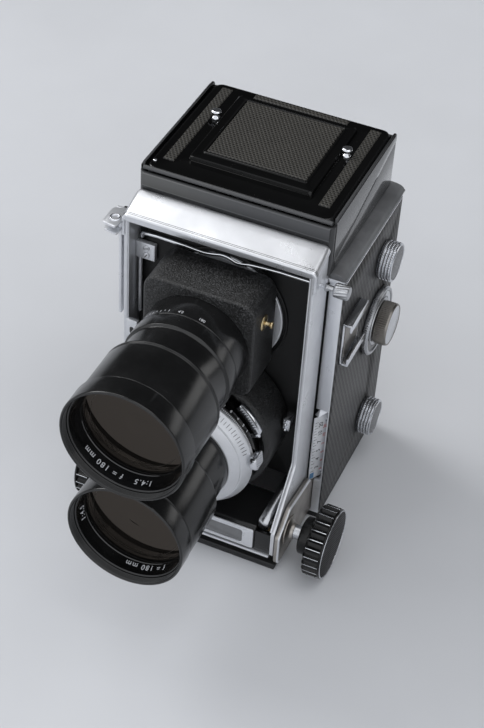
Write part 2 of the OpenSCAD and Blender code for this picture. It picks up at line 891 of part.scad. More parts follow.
module cocking_lever() {
    arm = [for (a = [22:6:52]) [30.9 * cos(a), 30.9 * sin(a)]];
    inner_arc = [for (a = [52:-6:22]) [28.3 * cos(a), 28.3 * sin(a)]];
    color("silver")
    translate([0, -62.5, take_z]) rotate([90, 0, 0]) linear_extrude(3.4)
        polygon(concat(arm, inner_arc));
}

module shutter_blades() {
    color("dimgray")
    for (i = [0:4])
        translate([0, -50 - 0.3 * i, take_z]) rotate([0, 72 * i, 0]) rotate([90, 0, 0])
            linear_extrude(0.2) polygon([
                for (a = [-40:10:40]) [16.6 * cos(a), 16.6 * sin(a)],
                [1.2, 1.6], [-1.4, 0], [1.2, -1.6]
            ]);
}

module sync_terminal() {
    color("silver") {
        box([31.35, -49.5, 61], [34.6, -44.5, 67]);
        for (z = [62.6, 65.4]) rod_y(33, -51, -49.5, z, 0.6);
    }
}

body_shell();
top_plate();
base_plate();
tripod_bush();
side_covering();
focus_cheeks();
distance_scale();
scale_screws();
accessory_shoe();
reflex_mirror();
focusing_screen();
film_gate();
bellows();
finder_base();
focus_shaft();
pinions();
focus_knobs();
knob_collars();
upper_spool_knob();
lower_spool_knob();
lock_dial();
lock_knob();
wind_crank();
crank_handle();
take_up_spool();
supply_spool();
back_door();
door_covering();
pressure_plate();
door_latch();
finder_lid();
lid_covering();
lid_studs();
left_wing();
right_wing();
back_wing();
magnifier_frame();
magnifier_lens();
standard_frame();
front_panel();
name_hood();
foot_cover();
foot_nameplate();
focus_racks();
release_lever();
bail_wire();
bail_knob();
bail_clamp();
lens_board();
view_housing();
view_barrel();
view_glass();
shutter_housing();
take_barrel();
take_glass();
aperture_ring();
speed_ring();
cocking_lever();
shutter_blades();
sync_terminal();
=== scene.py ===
import math

import bmesh
import bpy
from mathutils import Matrix, Vector

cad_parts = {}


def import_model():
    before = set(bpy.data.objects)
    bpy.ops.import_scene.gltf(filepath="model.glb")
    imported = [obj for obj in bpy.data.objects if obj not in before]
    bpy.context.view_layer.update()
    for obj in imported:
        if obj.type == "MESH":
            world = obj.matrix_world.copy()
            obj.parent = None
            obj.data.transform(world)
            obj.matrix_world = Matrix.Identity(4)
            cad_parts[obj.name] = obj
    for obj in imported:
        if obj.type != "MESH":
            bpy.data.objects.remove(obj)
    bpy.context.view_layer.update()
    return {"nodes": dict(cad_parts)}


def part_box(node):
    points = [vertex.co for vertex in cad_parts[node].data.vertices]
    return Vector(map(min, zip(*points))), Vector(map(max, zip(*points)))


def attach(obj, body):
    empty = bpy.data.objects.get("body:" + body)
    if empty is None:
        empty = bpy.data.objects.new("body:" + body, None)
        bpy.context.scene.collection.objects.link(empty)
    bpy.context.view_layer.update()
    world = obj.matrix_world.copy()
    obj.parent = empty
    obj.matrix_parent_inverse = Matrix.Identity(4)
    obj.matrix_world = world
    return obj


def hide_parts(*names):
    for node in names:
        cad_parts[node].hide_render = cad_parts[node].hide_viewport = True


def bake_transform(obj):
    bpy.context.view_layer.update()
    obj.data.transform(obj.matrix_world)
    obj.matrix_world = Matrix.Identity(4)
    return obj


# The looks of a twin lens reflex camera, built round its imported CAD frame.
# Lengths are in millimetres until a mesh is made, and MM turns them into metres.
# The lenses look towards -Y, so "forward" is the distance along -Y from the origin.

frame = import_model()

MM = 0.001
WEAVE = (1.64, 1.25)    # pitch of the leatherette's slots, across and along


def span(node):
    """Lowest and highest corner of a CAD node, in millimetres."""
    low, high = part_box(node)
    return low / MM, high / MM


# ---------- points and outlines ----------

def soften(points, radius, closed=False, steps=3):
    """The same outline with each corner turned into a small curve."""
    made = []
    count = len(points)
    for i, point in enumerate(points):
        if not closed and i in (0, count - 1):
            made.append(Vector(point))
            continue
        corner = Vector(point)
        before = Vector(points[i - 1]) - corner
        after = Vector(points[(i + 1) % count]) - corner
        if before.length < 1e-6 or after.length < 1e-6 or before.angle(after) > 2.95:
            made.append(corner)
            continue
        start = corner + before.normalized() * min(radius, before.length * 0.45)
        end = corner + after.normalized() * min(radius, after.length * 0.45)
        for k in range(steps + 1):
            t = k / steps
            made.append(start * (1 - t) ** 2 + corner * 2 * t * (1 - t) + end * t ** 2)
    return made


def arc(centre, radius, first, last, steps):
    """Points on an arc, angles in degrees."""
    turn = [math.radians(first + (last - first) * i / steps) for i in range(steps + 1)]
    return [(centre[0] + radius * math.cos(a), centre[1] + radius * math.sin(a)) for a in turn]


def round_rect(x0, x1, y0, y1, radius, steps=5):
    """Outline of a rectangle with round corners, anticlockwise."""
    r = max(radius, 1e-4)
    corners = [(x1 - r, y1 - r, 0), (x0 + r, y1 - r, 90), (x0 + r, y0 + r, 180), (x1 - r, y0 + r, 270)]
    return [p for x, y, a in corners for p in arc((x, y), r, a, a + 90, steps)]


def area(points):
    """Signed area, positive when the outline runs anticlockwise."""
    return sum(a[0] * b[1] - b[0] * a[1] for a, b in zip(points, points[1:] + points[:1])) / 2


def inset(points, distance):
    """The outline moved inwards by a small distance."""
    made = []
    side = 1 if area(points) > 0 else -1
    count = len(points)
    for i in range(count):
        here = Vector(points[i][:2])
        before = (here - Vector(points[i - 1][:2])).normalized()
        after = (Vector(points[(i + 1) % count][:2]) - here).normalized()
        inward = (Vector((-before.y, before.x)) + Vector((-after.y, after.x))) * side
        if inward.length < 1e-6:
            made.append(here)
            continue
        inward.normalize()
        spread = max(inward.dot(Vector((-after.y, after.x)) * side), 0.35)
        made.append(here + inward * (distance / spread))
    return made


def facing(origin, towards, up=(0, 0, 1)):
    """Matrix whose local z points towards a direction, with local y near up."""
    z = Vector(towards).normalized()
    x = Vector(up).cross(z)
    if x.length < 1e-6:
        x = Vector((1, 0, 0))
    x.normalize()
    y = z.cross(x)
    return Matrix.Translation(origin) @ Matrix((x, y, z)).transposed().to_4x4()


PLAN = Matrix.Identity(4)                                  # outline in XY, thickness along Z
FRONTAL = facing((0, 0, 0), (0, -1, 0))                    # outline in XZ, thickness along -Y
SIDEWAYS = Matrix(((0, 0, 1, 0), (1, 0, 0, 0), (0, 1, 0, 0), (0, 0, 0, 1)))  # outline in YZ, along X


# ---------- meshes ----------

def loft(rings, closed=False, caps=True):
    """Vertices and faces of a skin over rings that all have the same number of points."""
    width = len(rings[0])
    verts = [Vector(p) for ring in rings for p in ring]
    faces = []
    pairs = len(rings) if closed else len(rings) - 1
    for i in range(pairs):
        a, b = i * width, ((i + 1) % len(rings)) * width
        for j in range(width):
            k = (j + 1) % width
            faces.append((a + j, a + k, b + k, b + j))
    if caps and not closed:
        faces.append(tuple(range(width - 1, -1, -1)))
        faces.append(tuple(range((len(rings) - 1) * width, len(rings) * width)))
    return verts, faces


def merged(*parts):
    """Several (vertices, faces) lists as one."""
    verts, faces = [], []
    for part_verts, part_faces in parts:
        base = len(verts)
        verts += part_verts
        faces += [tuple(i + base for i in face) for face in part_faces]
    return verts, faces


def moved(part, matrix):
    """A (vertices, faces) part after a 4x4 matrix."""
    return [matrix @ Vector(v) for v in part[0]], part[1]


def piece(name, part, finish, body, sharp=38, stands_for=()):
    """Makes an object of the CAD body from a (vertices, faces) part in millimetres."""
    mesh = bpy.data.meshes.new(name)
    mesh.from_pydata([Vector(v) * MM for v in part[0]], [], part[1])
    work = bmesh.new()
    work.from_mesh(mesh)
    bmesh.ops.remove_doubles(work, verts=work.verts, dist=2e-7)
    bmesh.ops.recalc_face_normals(work, faces=work.faces)
    work.to_mesh(mesh)
    work.free()
    mesh.shade_smooth()
    mesh.set_sharp_from_angle(angle=math.radians(sharp))
    made = bpy.data.objects.new(name, mesh)
    bpy.context.scene.collection.objects.link(made)
    mesh.materials.append(FINISH[finish])
    if body:
        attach(made, body)
    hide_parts(*stands_for)
    return made


def turned(profile, place, segments=96, ring=True, softness=0.2, wave=None):
    """A profile of (radius, height) points turned about the local z axis of a matrix."""
    outline = soften(profile, softness, closed=ring) if softness else [Vector(p) for p in profile]
    rings = []
    for r, h in outline:
        circle = []
        for k in range(segments):
            a = 2 * math.pi * k / segments
            reach = r + (wave(a, r, h) if wave else 0)
            circle.append(place @ Vector((reach * math.cos(a), reach * math.sin(a), h)))
        rings.append(circle)
    return loft(rings, closed=ring, caps=False)


def prism(outline, place, low, high, edge=0.3, steps=2):
    """An outline pulled from low to high along the local z, with round edges."""
    flat = [Vector(p[:2]) for p in outline]
    if area([tuple(p) for p in flat]) < 0:
        flat.reverse()
    edge = min(edge, (high - low) * 0.45)
    levels = []
    for k in range(steps + 1):
        a = math.pi / 2 * k / steps
        levels.append((edge * (1 - math.sin(a)), low + edge * (1 - math.cos(a))))
    levels += [(d, low + high - z) for d, z in reversed(levels)]
    rings = [[place @ Vector((p.x, p.y, z)) for p in inset(flat, d)] for d, z in levels]
    return loft(rings)


def window(outer, inner, place, low, high, edge=0.2):
    """A plate with one opening; outer and inner outlines have equal numbers of points."""
    wide = [Vector(p[:2]) for p in outer]
    hole = [Vector(p[:2]) for p in inner]
    sections = [
        (inset(wide, edge), low), (wide, low + edge), (wide, high - edge), (inset(wide, edge), high),
        (inset(hole, -edge), high), (hole, high - edge), (hole, low + edge), (inset(hole, -edge), low),
    ]
    rings = [[place @ Vector((p.x, p.y, z)) for p in points] for points, z in sections]
    return loft(rings, closed=True)


def block(low, high, edge=0.3, corner=None):
    """A box between two corners with round edges, upright corners of radius corner."""
    radius = corner if corner is not None else edge
    outline = round_rect(low[0], high[0], low[1], high[1], radius, 4)
    return prism(outline, PLAN, low[2], high[2], edge)


def tube(path, radius, sides, smooth_turns=0.0):
    """A round wire along a path of 3-D points."""
    points = soften(path, smooth_turns, steps=5) if smooth_turns else [Vector(p) for p in path]
    rings = []
    across = None
    for i, point in enumerate(points):
        ahead = (points[min(i + 1, len(points) - 1)] - points[max(i - 1, 0)]).normalized()
        if across is None:
            across = ahead.orthogonal().normalized()
        across = (across - ahead * across.dot(ahead)).normalized()
        other = ahead.cross(across)
        rings.append([
            point + (across * math.cos(a) + other * math.sin(a)) * radius
            for a in [2 * math.pi * k / sides for k in range(sides)]
        ])
    return loft(rings)


def ripple(count, depth, inside, power=1, lean=0.0, start=0.0):
    """A wave for turned(): count dents round the axis wherever inside(radius, height) holds.
    With a lean they run slanting, straight at the height start."""
    def wave(a, r, h):
        if not inside(r, h):
            return 0
        return -depth * (0.5 + 0.5 * math.cos(count * a + lean * (h - start))) ** power
    return wave


def spun(place, degrees):
    """A matrix turned about its own local z."""
    return place @ Matrix.Rotation(math.radians(degrees), 4, "Z")


def hatching(place, radius, count, pitch, low, high, edge):
    """Parallel raised lines across a round face, count of them on each side of its middle."""
    lines = []
    for k in range(-count, count + 1):
        off = k * pitch
        reach = math.sqrt(radius ** 2 - off ** 2)
        lines.append(moved(block((off - 0.3, -reach, low), (off + 0.3, reach, high), edge), place))
    return lines


def screws(spots, radius):
    """Heads and slots of several screws; spots is a list of (matrix, turn of the slot)."""
    made = [screw(place, radius, turn) for place, turn in spots]
    return [head for head, slot in made], [slot for head, slot in made]


def screw(place, radius, turn, height=0.5):
    """A slotted cheese head screw standing on the local xy plane."""
    head = turned([(0, 0), (radius, 0), (radius, height * 0.75), (radius * 0.75, height), (0, height)],
                  place, 40, ring=False, softness=0.12)
    cut = prism(round_rect(-radius * 0.8, radius * 0.8, -radius * 0.13, radius * 0.13, 0.02, 1),
                spun(place, turn), height - 0.02, height + 0.02, 0.005, 1)
    return head, cut


def letters(text, height, depth=0.04, spread=1.0):
    """Flat text as a (vertices, faces) part, centred, its face towards local +z."""
    curve = bpy.data.curves.new("letters", "FONT")
    curve.body = text
    curve.size = height / 0.7
    curve.space_character = spread
    curve.offset = height * 0.012
    curve.align_x = "CENTER"
    curve.align_y = "CENTER"
    curve.extrude = depth / 2
    curve.resolution_u = 4
    holder = bpy.data.objects.new("letters", curve)
    bpy.context.scene.collection.objects.link(holder)
    bpy.context.view_layer.update()
    mesh = bpy.data.meshes.new_from_object(holder.evaluated_get(bpy.context.evaluated_depsgraph_get()))
    part = ([v.co.copy() for v in mesh.vertices], [tuple(p.vertices) for p in mesh.polygons])
    bpy.data.objects.remove(holder)
    bpy.data.curves.remove(curve)
    bpy.data.meshes.remove(mesh)
    return part


# ---------- materials ----------

class Shader:
    """A material's node tree, with short calls for the nodes it uses. Lengths in its textures are mm."""

    def __init__(self, name):
        self.material = bpy.data.materials.new(name)
        self.material.use_nodes = True
        self.tree = self.material.node_tree
        self.surface = self.tree.nodes["Principled BSDF"]
        coordinates = self.node("ShaderNodeTexCoord").outputs["Object"]
        self.place = self.vector("SCALE", coordinates, Scale=1 / MM)

    def put(self, socket, value):
        if isinstance(value, bpy.types.NodeSocket):
            self.tree.links.new(value, socket)
        else:
            socket.default_value = value

    def node(self, kind, values=None, **settings):
        made = self.tree.nodes.new(kind)
        for key, value in settings.items():
            setattr(made, key, value)
        for key, value in (values or {}).items():
            self.put(made.inputs[key], value)
        return made

    def vector(self, operation, *values, **named):
        made = self.node("ShaderNodeVectorMath", dict(enumerate(values)), operation=operation)
        for key, value in named.items():
            self.put(made.inputs[key], value)
        return made.outputs[0]

    def sum(self, operation, *values):
        return self.node("ShaderNodeMath", dict(enumerate(values)), operation=operation).outputs[0]

    def noise(self, size, detail=3.0, rough=0.5, stretch=(1, 1, 1)):
        """Cloudy noise from 0 to 1 whose lumps are about size mm."""
        place = self.vector("MULTIPLY", self.place, stretch)
        values = {"Vector": place, "Scale": 1 / size, "Detail": detail, "Roughness": rough}
        return self.node("ShaderNodeTexNoise", values).outputs["Fac"]

    def cells(self, size):
        """Distance inside cells of about size mm."""
        return self.node("ShaderNodeTexVoronoi", {"Vector": self.place, "Scale": 1 / size}).outputs["Distance"]

    def step(self, value, low, high, bottom=0.0, top=1.0):
        values = {"Value": value, "From Min": low, "From Max": high, "To Min": bottom, "To Max": top}
        made = self.node("ShaderNodeMapRange", values, interpolation_type="SMOOTHSTEP")
        return made.outputs["Result"]

    def mix(self, factor, first, second):
        made = self.node("ShaderNodeMix", data_type="RGBA")
        self.put(made.inputs[0], factor)
        self.put(made.inputs[6], first)
        self.put(made.inputs[7], second)
        return made.outputs[2]

    def bump(self, height, distance):
        """Relief of a height from 0 to 1, distance in mm."""
        values = {"Height": height, "Distance": distance * MM, "Strength": 1.0}
        return self.node("ShaderNodeBump", values).outputs["Normal"]

    def split(self):
        """The place's x, y and z."""
        return self.node("ShaderNodeSeparateXYZ", {0: self.place}).outputs

    def square(self, value):
        return self.sum("POWER", self.sum("ABSOLUTE", value), 2.0)

    def edges(self, low=0.52, high=0.6):
        """Near 1 on outer edges."""
        return self.step(self.node("ShaderNodeNewGeometry").outputs["Pointiness"], low, high)

    def set(self, **values):
        for key, value in values.items():
            self.put(self.surface.inputs[key.replace("_", " ")], value)
        return self.material


def grey(value, tint=(1.0, 1.0, 1.0)):
    return (value * tint[0], value * tint[1], value * tint[2], 1.0)


COOL = (0.965, 0.985, 1.03)
WARM = (1.06, 1.0, 0.93)


def metal(name, shade, roughness, tint=COOL, grain=0.3, depth=0.01, stretch=(1, 1, 1), marks=0.5, mirror=1.0):
    """Bare or plated metal: fine grain, cloudy handling marks, small dark specks and bright edges."""
    s = Shader(name)
    fine = s.noise(grain, 2.0, 0.6, stretch)
    cloud = s.noise(11.0, 4.0, 0.6)
    specks = s.step(s.noise(0.7, 2.0, 0.5), 0.70, 0.78)
    base = s.mix(s.step(cloud, 0.3, 0.75), grey(shade, tint), grey(shade * (1 - 0.22 * marks), tint))
    base = s.mix(s.sum("MULTIPLY", specks, 0.55 * marks), base, grey(shade * 0.25, WARM))
    base = s.mix(s.sum("MULTIPLY", s.edges(), 0.5), base, grey(min(shade * 1.25, 0.95), tint))
    rough = s.sum("ADD", s.step(cloud, 0.2, 0.8, roughness * 0.85, roughness * 1.25),
                  s.step(fine, 0.2, 0.8, -0.04, 0.05))
    return s.set(Base_Color=base, Metallic=mirror, Roughness=rough, Normal=s.bump(fine, depth))


def paint(name, shade, roughness, coat=0.0, peel=1.6, depth=0.006, dust=0.25, wear=0.35, gleam=0.5):
    """Smooth dark paint or anodising: slight orange peel, dust, hairline marks, edges rubbed bright."""
    s = Shader(name)
    skin = s.noise(peel, 2.0, 0.5)
    cloud = s.noise(14.0, 4.0, 0.65)
    hairs = s.noise(2.2, 4.0, 0.7)
    dots = s.step(s.cells(1.3), 0.10, 0.03)
    dots = s.sum("MULTIPLY", dots, s.step(s.noise(9.0, 3.0), 0.5, 0.68))
    base = s.mix(s.step(cloud, 0.3, 0.8), grey(shade, COOL), grey(shade * 1.7, COOL))
    base = s.mix(s.sum("MULTIPLY", dots, dust), base, grey(0.35, WARM))
    base = s.mix(s.sum("MULTIPLY", s.edges(0.53, 0.62), wear), base, grey(0.22, COOL))
    rough = s.sum("ADD", s.step(cloud, 0.25, 0.8, roughness, roughness * 1.5),
                  s.step(hairs, 0.55, 0.8, 0.0, 0.08))
    return s.set(Base_Color=base, Roughness=rough, Normal=s.bump(skin, depth), Coat_Weight=coat,
                 Coat_Roughness=0.06, Specular_IOR_Level=gleam)


def crinkle(name, dark, light, size=0.95, depth=0.16):
    """Wrinkle finish enamel: fine crossing ridges whose tops are rubbed grey, with worn edges."""
    s = Shader(name)
    bends = s.noise(size, 2.0, 0.55)
    ridges = s.sum("SUBTRACT", 1.0, s.sum("ABSOLUTE", s.sum("MULTIPLY", s.sum("SUBTRACT", bends, 0.5), 6.0)))
    grit = s.noise(size * 0.45, 2.0, 0.6)
    tops = s.sum("MULTIPLY", s.step(ridges, 0.45, 0.95), s.step(grit, 0.42, 0.62))
    patch = s.step(s.noise(16.0, 3.0, 0.6), 0.3, 0.7, 0.5, 1.0)
    base = s.mix(s.sum("MULTIPLY", tops, patch), grey(dark, COOL), grey(light, COOL))
    base = s.mix(s.sum("MULTIPLY", s.edges(0.53, 0.64), 0.35), base, grey(light * 1.6, COOL))
    height = s.sum("ADD", s.sum("MULTIPLY", ridges, 0.5), s.sum("MULTIPLY", grit, 0.4))
    return s.set(Base_Color=base, Roughness=s.step(tops, 0.0, 1.0, 0.45, 0.62), Normal=s.bump(height, depth))


def pits(s, across, along):
    """1 inside the small staggered slots of a woven grain."""
    u = s.sum("DIVIDE", across, WEAVE[0])
    v = s.sum("DIVIDE", along, WEAVE[1])
    shift = s.sum("FRACT", s.sum("MULTIPLY", s.sum("FLOOR", v), 0.5))
    du = s.sum("SUBTRACT", s.sum("FRACT", s.sum("ADD", u, shift)), 0.5)
    dv = s.sum("SUBTRACT", s.sum("FRACT", v), 0.5)
    far = s.sum("SQRT", s.sum("ADD", s.square(s.sum("MULTIPLY", du, 2.6)), s.square(s.sum("MULTIPLY", dv, 1.9))))
    return s.step(far, 0.95, 0.35)


def leather(name, axes, ground, pit, tint, depth=0.16, lean=0.0, ribs=0.0):
    """Leatherette pressed with staggered slots, or with slanting ribs; axes are the plane it lies in."""
    s = Shader(name)
    split = s.split()
    across, along = split[axes[0]], split[axes[1]]
    fibre = s.noise(0.3, 3.0, 0.6)
    cloud = s.noise(12.0, 3.0, 0.6)
    if ribs:
        wander = s.sum("MULTIPLY", s.sum("SUBTRACT", s.noise(5.0, 2.0), 0.5), 0.5)
        slant = s.sum("ADD", s.sum("ADD", across, s.sum("MULTIPLY", along, lean)), wander)
        wave = s.sum("SINE", s.sum("MULTIPLY", slant, 2 * math.pi / ribs))
        knots = s.sum("SINE", s.sum("MULTIPLY", along, 2 * math.pi / (ribs * 1.1)))
        relief = s.step(s.sum("ADD", wave, s.sum("MULTIPLY", knots, 0.35)), -1.0, 1.1)
        holes = s.sum("SUBTRACT", 1.0, relief)
    else:
        holes = pits(s, across, along)
        relief = s.sum("SUBTRACT", 1.0, holes)
    base = s.mix(s.step(cloud, 0.3, 0.75, 0.0, 0.35), grey(ground, tint), grey(ground * 0.6, tint))
    base = s.mix(s.sum("MULTIPLY", fibre, 0.5), base, grey(ground * 0.45, tint))
    base = s.mix(holes, base, grey(pit, tint))
    height = s.sum("ADD", s.sum("MULTIPLY", relief, 0.85), s.sum("MULTIPLY", fibre, 0.12))
    return s.set(Base_Color=base, Roughness=s.step(fibre, 0.2, 0.8, 0.42, 0.6), Normal=s.bump(height, depth))


def plastic(name, shade, roughness, tint=COOL, grain=0.6, depth=0.01):
    """Moulded plastic or enamel with faint mottling and handling marks."""
    s = Shader(name)
    mottle = s.noise(grain, 3.0, 0.6)
    cloud = s.noise(6.0, 4.0, 0.6)
    base = s.mix(s.step(cloud, 0.3, 0.75), grey(shade, tint), grey(shade * 0.8, tint))
    base = s.mix(s.sum("MULTIPLY", s.step(mottle, 0.62, 0.75), 0.35), base, grey(shade * 0.5, WARM))
    rough = s.step(cloud, 0.2, 0.8, roughness * 0.85, roughness * 1.25)
    return s.set(Base_Color=base, Roughness=rough, Normal=s.bump(mottle, depth))


def coated_glass(name, tint, shine):
    """A coated front element seen against a black interior: a weak tinted mirror over a dark depth."""
    s = Shader(name)
    facing_ratio = s.node("ShaderNodeLayerWeight", {"Blend": 0.35}).outputs["Facing"]
    gloss = s.node("ShaderNodeBsdfGlossy", {"Roughness": s.step(s.noise(9.0, 3.0), 0.3, 0.8, 0.015, 0.05)})
    s.put(gloss.inputs["Color"], s.mix(facing_ratio, grey(shine, tint), grey(shine * 2.4, tint)))
    depth = s.node("ShaderNodeBsdfDiffuse")
    s.put(depth.inputs["Color"], s.mix(facing_ratio, grey(0.004, tint), grey(0.010, WARM)))
    both = s.node("ShaderNodeAddShader", {0: gloss.outputs[0], 1: depth.outputs[0]})
    s.put(s.tree.nodes["Material Output"].inputs["Surface"], both.outputs[0])
    return s.material


def silvered(name):
    """A surface-silvered mirror with a faint haze."""
    s = Shader(name)
    haze = s.step(s.noise(7.0, 4.0, 0.6), 0.3, 0.8, 0.02, 0.09)
    return s.set(Base_Color=grey(0.85, COOL), Metallic=1.0, Roughness=haze, Normal=s.bump(s.noise(3.0), 0.001))


def ground_screen(name):
    """Ground glass with fine concentric grooves of a field lens."""
    s = Shader(name)
    split = s.split()
    away = s.sum("SQRT", s.sum("ADD", s.square(split[0]), s.square(s.sum("ADD", split[1], 5.0))))
    grooves = s.step(s.sum("SINE", s.sum("MULTIPLY", away, 12.0)), -1.0, 1.0)
    base = s.mix(s.noise(20.0), grey(0.45, COOL), grey(0.62, COOL))
    return s.set(Base_Color=base, Roughness=0.35, Normal=s.bump(grooves, 0.02), Coat_Weight=0.5)


def painted_reflection_wall(name):
    """Black lacquered sheet with a painted reflection of the floor: an olive-grey cast across its right half, while
    its left half stays black.
    """
    s = Shader(name)
    across = s.split()[0]
    cloud = s.noise(9.0, 3.0, 0.6)
    # painted reflection: olive-grey towards -X, blotched by the cloud, fading to near black towards +X
    fade = s.step(s.sum("ADD", across, s.sum("MULTIPLY", cloud, 16.0)), -28.0, 22.0)
    base = s.mix(fade, grey(0.050, (1.03, 1.0, 0.84)), grey(0.0015, COOL))
    base = s.mix(s.sum("MULTIPLY", s.edges(0.53, 0.62), 0.5), base, grey(0.2, COOL))
    return s.set(Base_Color=base, Roughness=s.step(cloud, 0.2, 0.8, 0.14, 0.24), Normal=s.bump(s.noise(3.0), 0.008),
                 Specular_IOR_Level=0.12)


FINISH = {
    "satin_silver": metal("satin_silver", 0.70, 0.32, grain=0.22, depth=0.014, marks=0.4, mirror=0.62),
    "hood_silver": metal("hood_silver", 0.66, 0.31, grain=0.35, depth=0.02, marks=0.25, mirror=0.85),
    "cheek_silver": metal("cheek_silver", 0.42, 0.36, tint=WARM, grain=0.3, depth=0.02, marks=1.0),
    "dark_satin": paint("dark_satin", 0.115, 0.30, coat=0.1, peel=0.5, depth=0.01, dust=0.1, wear=0.3),
    "black_paint": paint("black_paint", 0.005, 0.36, peel=0.4, depth=0.008, dust=0.12, wear=0.2, gleam=0.25),
    "black_lacquer": paint("black_lacquer", 0.0015, 0.10, coat=0.05, peel=3.0, dust=0.3, gleam=0.28),
    "crinkle_paint": crinkle("crinkle_paint", 0.0015, 0.085),
    "barrel_black": paint("barrel_black", 0.005, 0.17, peel=0.35, depth=0.003, dust=0.05, wear=0.06),
    "rim_gloss": paint("rim_gloss", 0.004, 0.07, coat=0.5, peel=2.5, depth=0.002, dust=0.2, wear=0.2),
    "gunmetal": metal("gunmetal", 0.26, 0.34, tint=WARM, grain=0.2, depth=0.01, marks=0.6),
    "steel": metal("steel", 0.48, 0.28, grain=0.3, depth=0.006, marks=0.6),
    "blade_steel": metal("blade_steel", 0.16, 0.35, grain=0.4, depth=0.004, stretch=(1, 1, 6), marks=0.5),
    "chrome": metal("chrome", 0.72, 0.17, grain=0.5, depth=0.004, marks=0.5),
    "brass": metal("brass", 0.55, 0.27, tint=(1.1, 0.88, 0.52), grain=0.3, depth=0.01, marks=0.8),
    "black_knob": paint("black_knob", 0.003, 0.20, peel=0.8, depth=0.008, dust=0.08, wear=0.1, gleam=0.3),
    "knob_face": paint("knob_face", 0.007, 0.30, peel=0.5, depth=0.008, dust=0.1, wear=0.6, gleam=0.35),
    "spool_plastic": plastic("spool_plastic", 0.02, 0.42),
    "white_enamel": plastic("white_enamel", 0.62, 0.40, grain=0.35, depth=0.004),
    "black_mark": plastic("black_mark", 0.012, 0.5),
    "red_mark": plastic("red_mark", 0.5, 0.5, tint=(1.0, 0.12, 0.10)),
    "blue_mark": plastic("blue_mark", 0.30, 0.5, tint=(0.25, 0.65, 1.2)),
    **{name: leather(name, axes, 0.085, 0.014, (1.0, 0.99, 0.98), depth=0.1, lean=0.5, ribs=2.85)
       for name, axes in (("side_leather", (1, 2)), ("ribbed_leather", (0, 2)))},
    "woven_leather": leather("woven_leather", (0, 1), 0.044, 0.0015, (1.06, 1.0, 0.87)),
    "bellows_leather": leather("bellows_leather", (0, 2), 0.03, 0.008, (1.0, 1.0, 1.0), depth=0.05),
    "mirror": silvered("mirror"),
    "screen_glass": ground_screen("screen_glass"),
    "lens_glass": coated_glass("lens_glass", (1.16, 1.0, 0.86), 0.034),
    "clear_glass": coated_glass("clear_glass", (0.95, 1.0, 1.05), 0.10),
    # the finder's front wall, coloured with a painted reflection of the floor
    "apron_painted_reflection": painted_reflection_wall("apron_painted_reflection"),
    "finder_skin": paint("finder_skin", 0.022, 0.20, coat=0.8, peel=3.0, depth=0.01, dust=0.12, wear=0.3),
}


# ---------- CAD nodes that keep their own shape ----------

def keep(node, finish, bevel=0.25):
    """Gives a CAD node its finish and small round edges, by modifiers only."""
    shown = frame["nodes"][node]
    shown.data.materials.clear()
    shown.data.materials.append(FINISH[finish])
    weld = shown.modifiers.new("weld", "WELD")
    weld.merge_threshold = 2e-6
    flat = shown.modifiers.new("flat", "DECIMATE")
    flat.decimate_type = "DISSOLVE"
    flat.angle_limit = math.radians(0.6)
    if bevel:
        edge = shown.modifiers.new("edge", "BEVEL")
        edge.width = bevel * MM
        edge.segments = 2
        edge.limit_method = "ANGLE"
        edge.angle_limit = math.radians(40)
        edge.use_clamp_overlap = True
    shown.data.shade_smooth()
    shown.data.set_sharp_from_angle(angle=math.radians(30))


KEPT = {
    "body_shell": ("satin_silver", 0.35), "top_plate": ("dark_satin", 0.3), "base_plate": ("black_paint", 0.4),
    "tripod_bush": ("steel", 0.2), "side_covering": ("side_leather", 0.0), "reflex_mirror": ("mirror", 0.1),
    "focusing_screen": ("screen_glass", 0.1), "film_gate": ("black_paint", 0.2), "focus_shaft": ("steel", 0.3),
    "pinions": ("brass", 0.0), "take_up_spool": ("spool_plastic", 0.0), "supply_spool": ("spool_plastic", 0.0),
    "back_door": ("satin_silver", 0.4), "door_covering": ("ribbed_leather", 0.15),
    "pressure_plate": ("black_paint", 0.3), "left_wing": ("black_paint", 0.0), "right_wing": ("black_paint", 0.0),
    "back_wing": ("black_paint", 0.0), "magnifier_frame": ("black_lacquer", 0.0),
    "focus_racks": ("steel", 0.0), "shutter_blades": ("blade_steel", 0.0),
}
for node_name, (finish_name, edge_width) in KEPT.items():
    keep(node_name, finish_name, edge_width)


# ---------- the two lenses ----------

view_low, view_high = span("view_barrel")
take_low, take_high = span("take_barrel")
VIEW_Z = (view_low.z + view_high.z) / 2
TAKE_Z = (take_low.z + take_high.z) / 2
GLASS_R = 20.5
BORE_R = 17.5


def lens_axis(z):
    """Local z runs forward along the lens axis from the origin's XZ plane."""
    return facing((0, 0, z), (0, -1, 0))


def on_axis(z, degrees):
    """Local x points outwards at this angle round a lens axis, local z forward."""
    return spun(lens_axis(z), degrees)


def thread(radius, start):
    """Profile points of a filter thread of six turns, running inwards from the rim."""
    pitch, depth, turns = 0.42, 0.28, 6
    return [(radius - (depth if k % 2 else 0), start - pitch * k / 2) for k in range(2 * turns)]


def lens_rim(ring_r, front, glass_r, glass_at):
    """Profile from the outside of the filter ring over its lip and down to the glass."""
    return [
        (ring_r, front - 0.5), (ring_r - 0.35, front), (ring_r - 0.9, front), (ring_r - 1.05, front - 0.35),
        *thread(ring_r - 1.15, front - 0.5), (ring_r - 1.5, front - 3.4), (ring_r - 2.0, front - 3.7),
        (glass_r + 0.6, glass_at + 3.0), (glass_r + 0.5, glass_at),
    ]


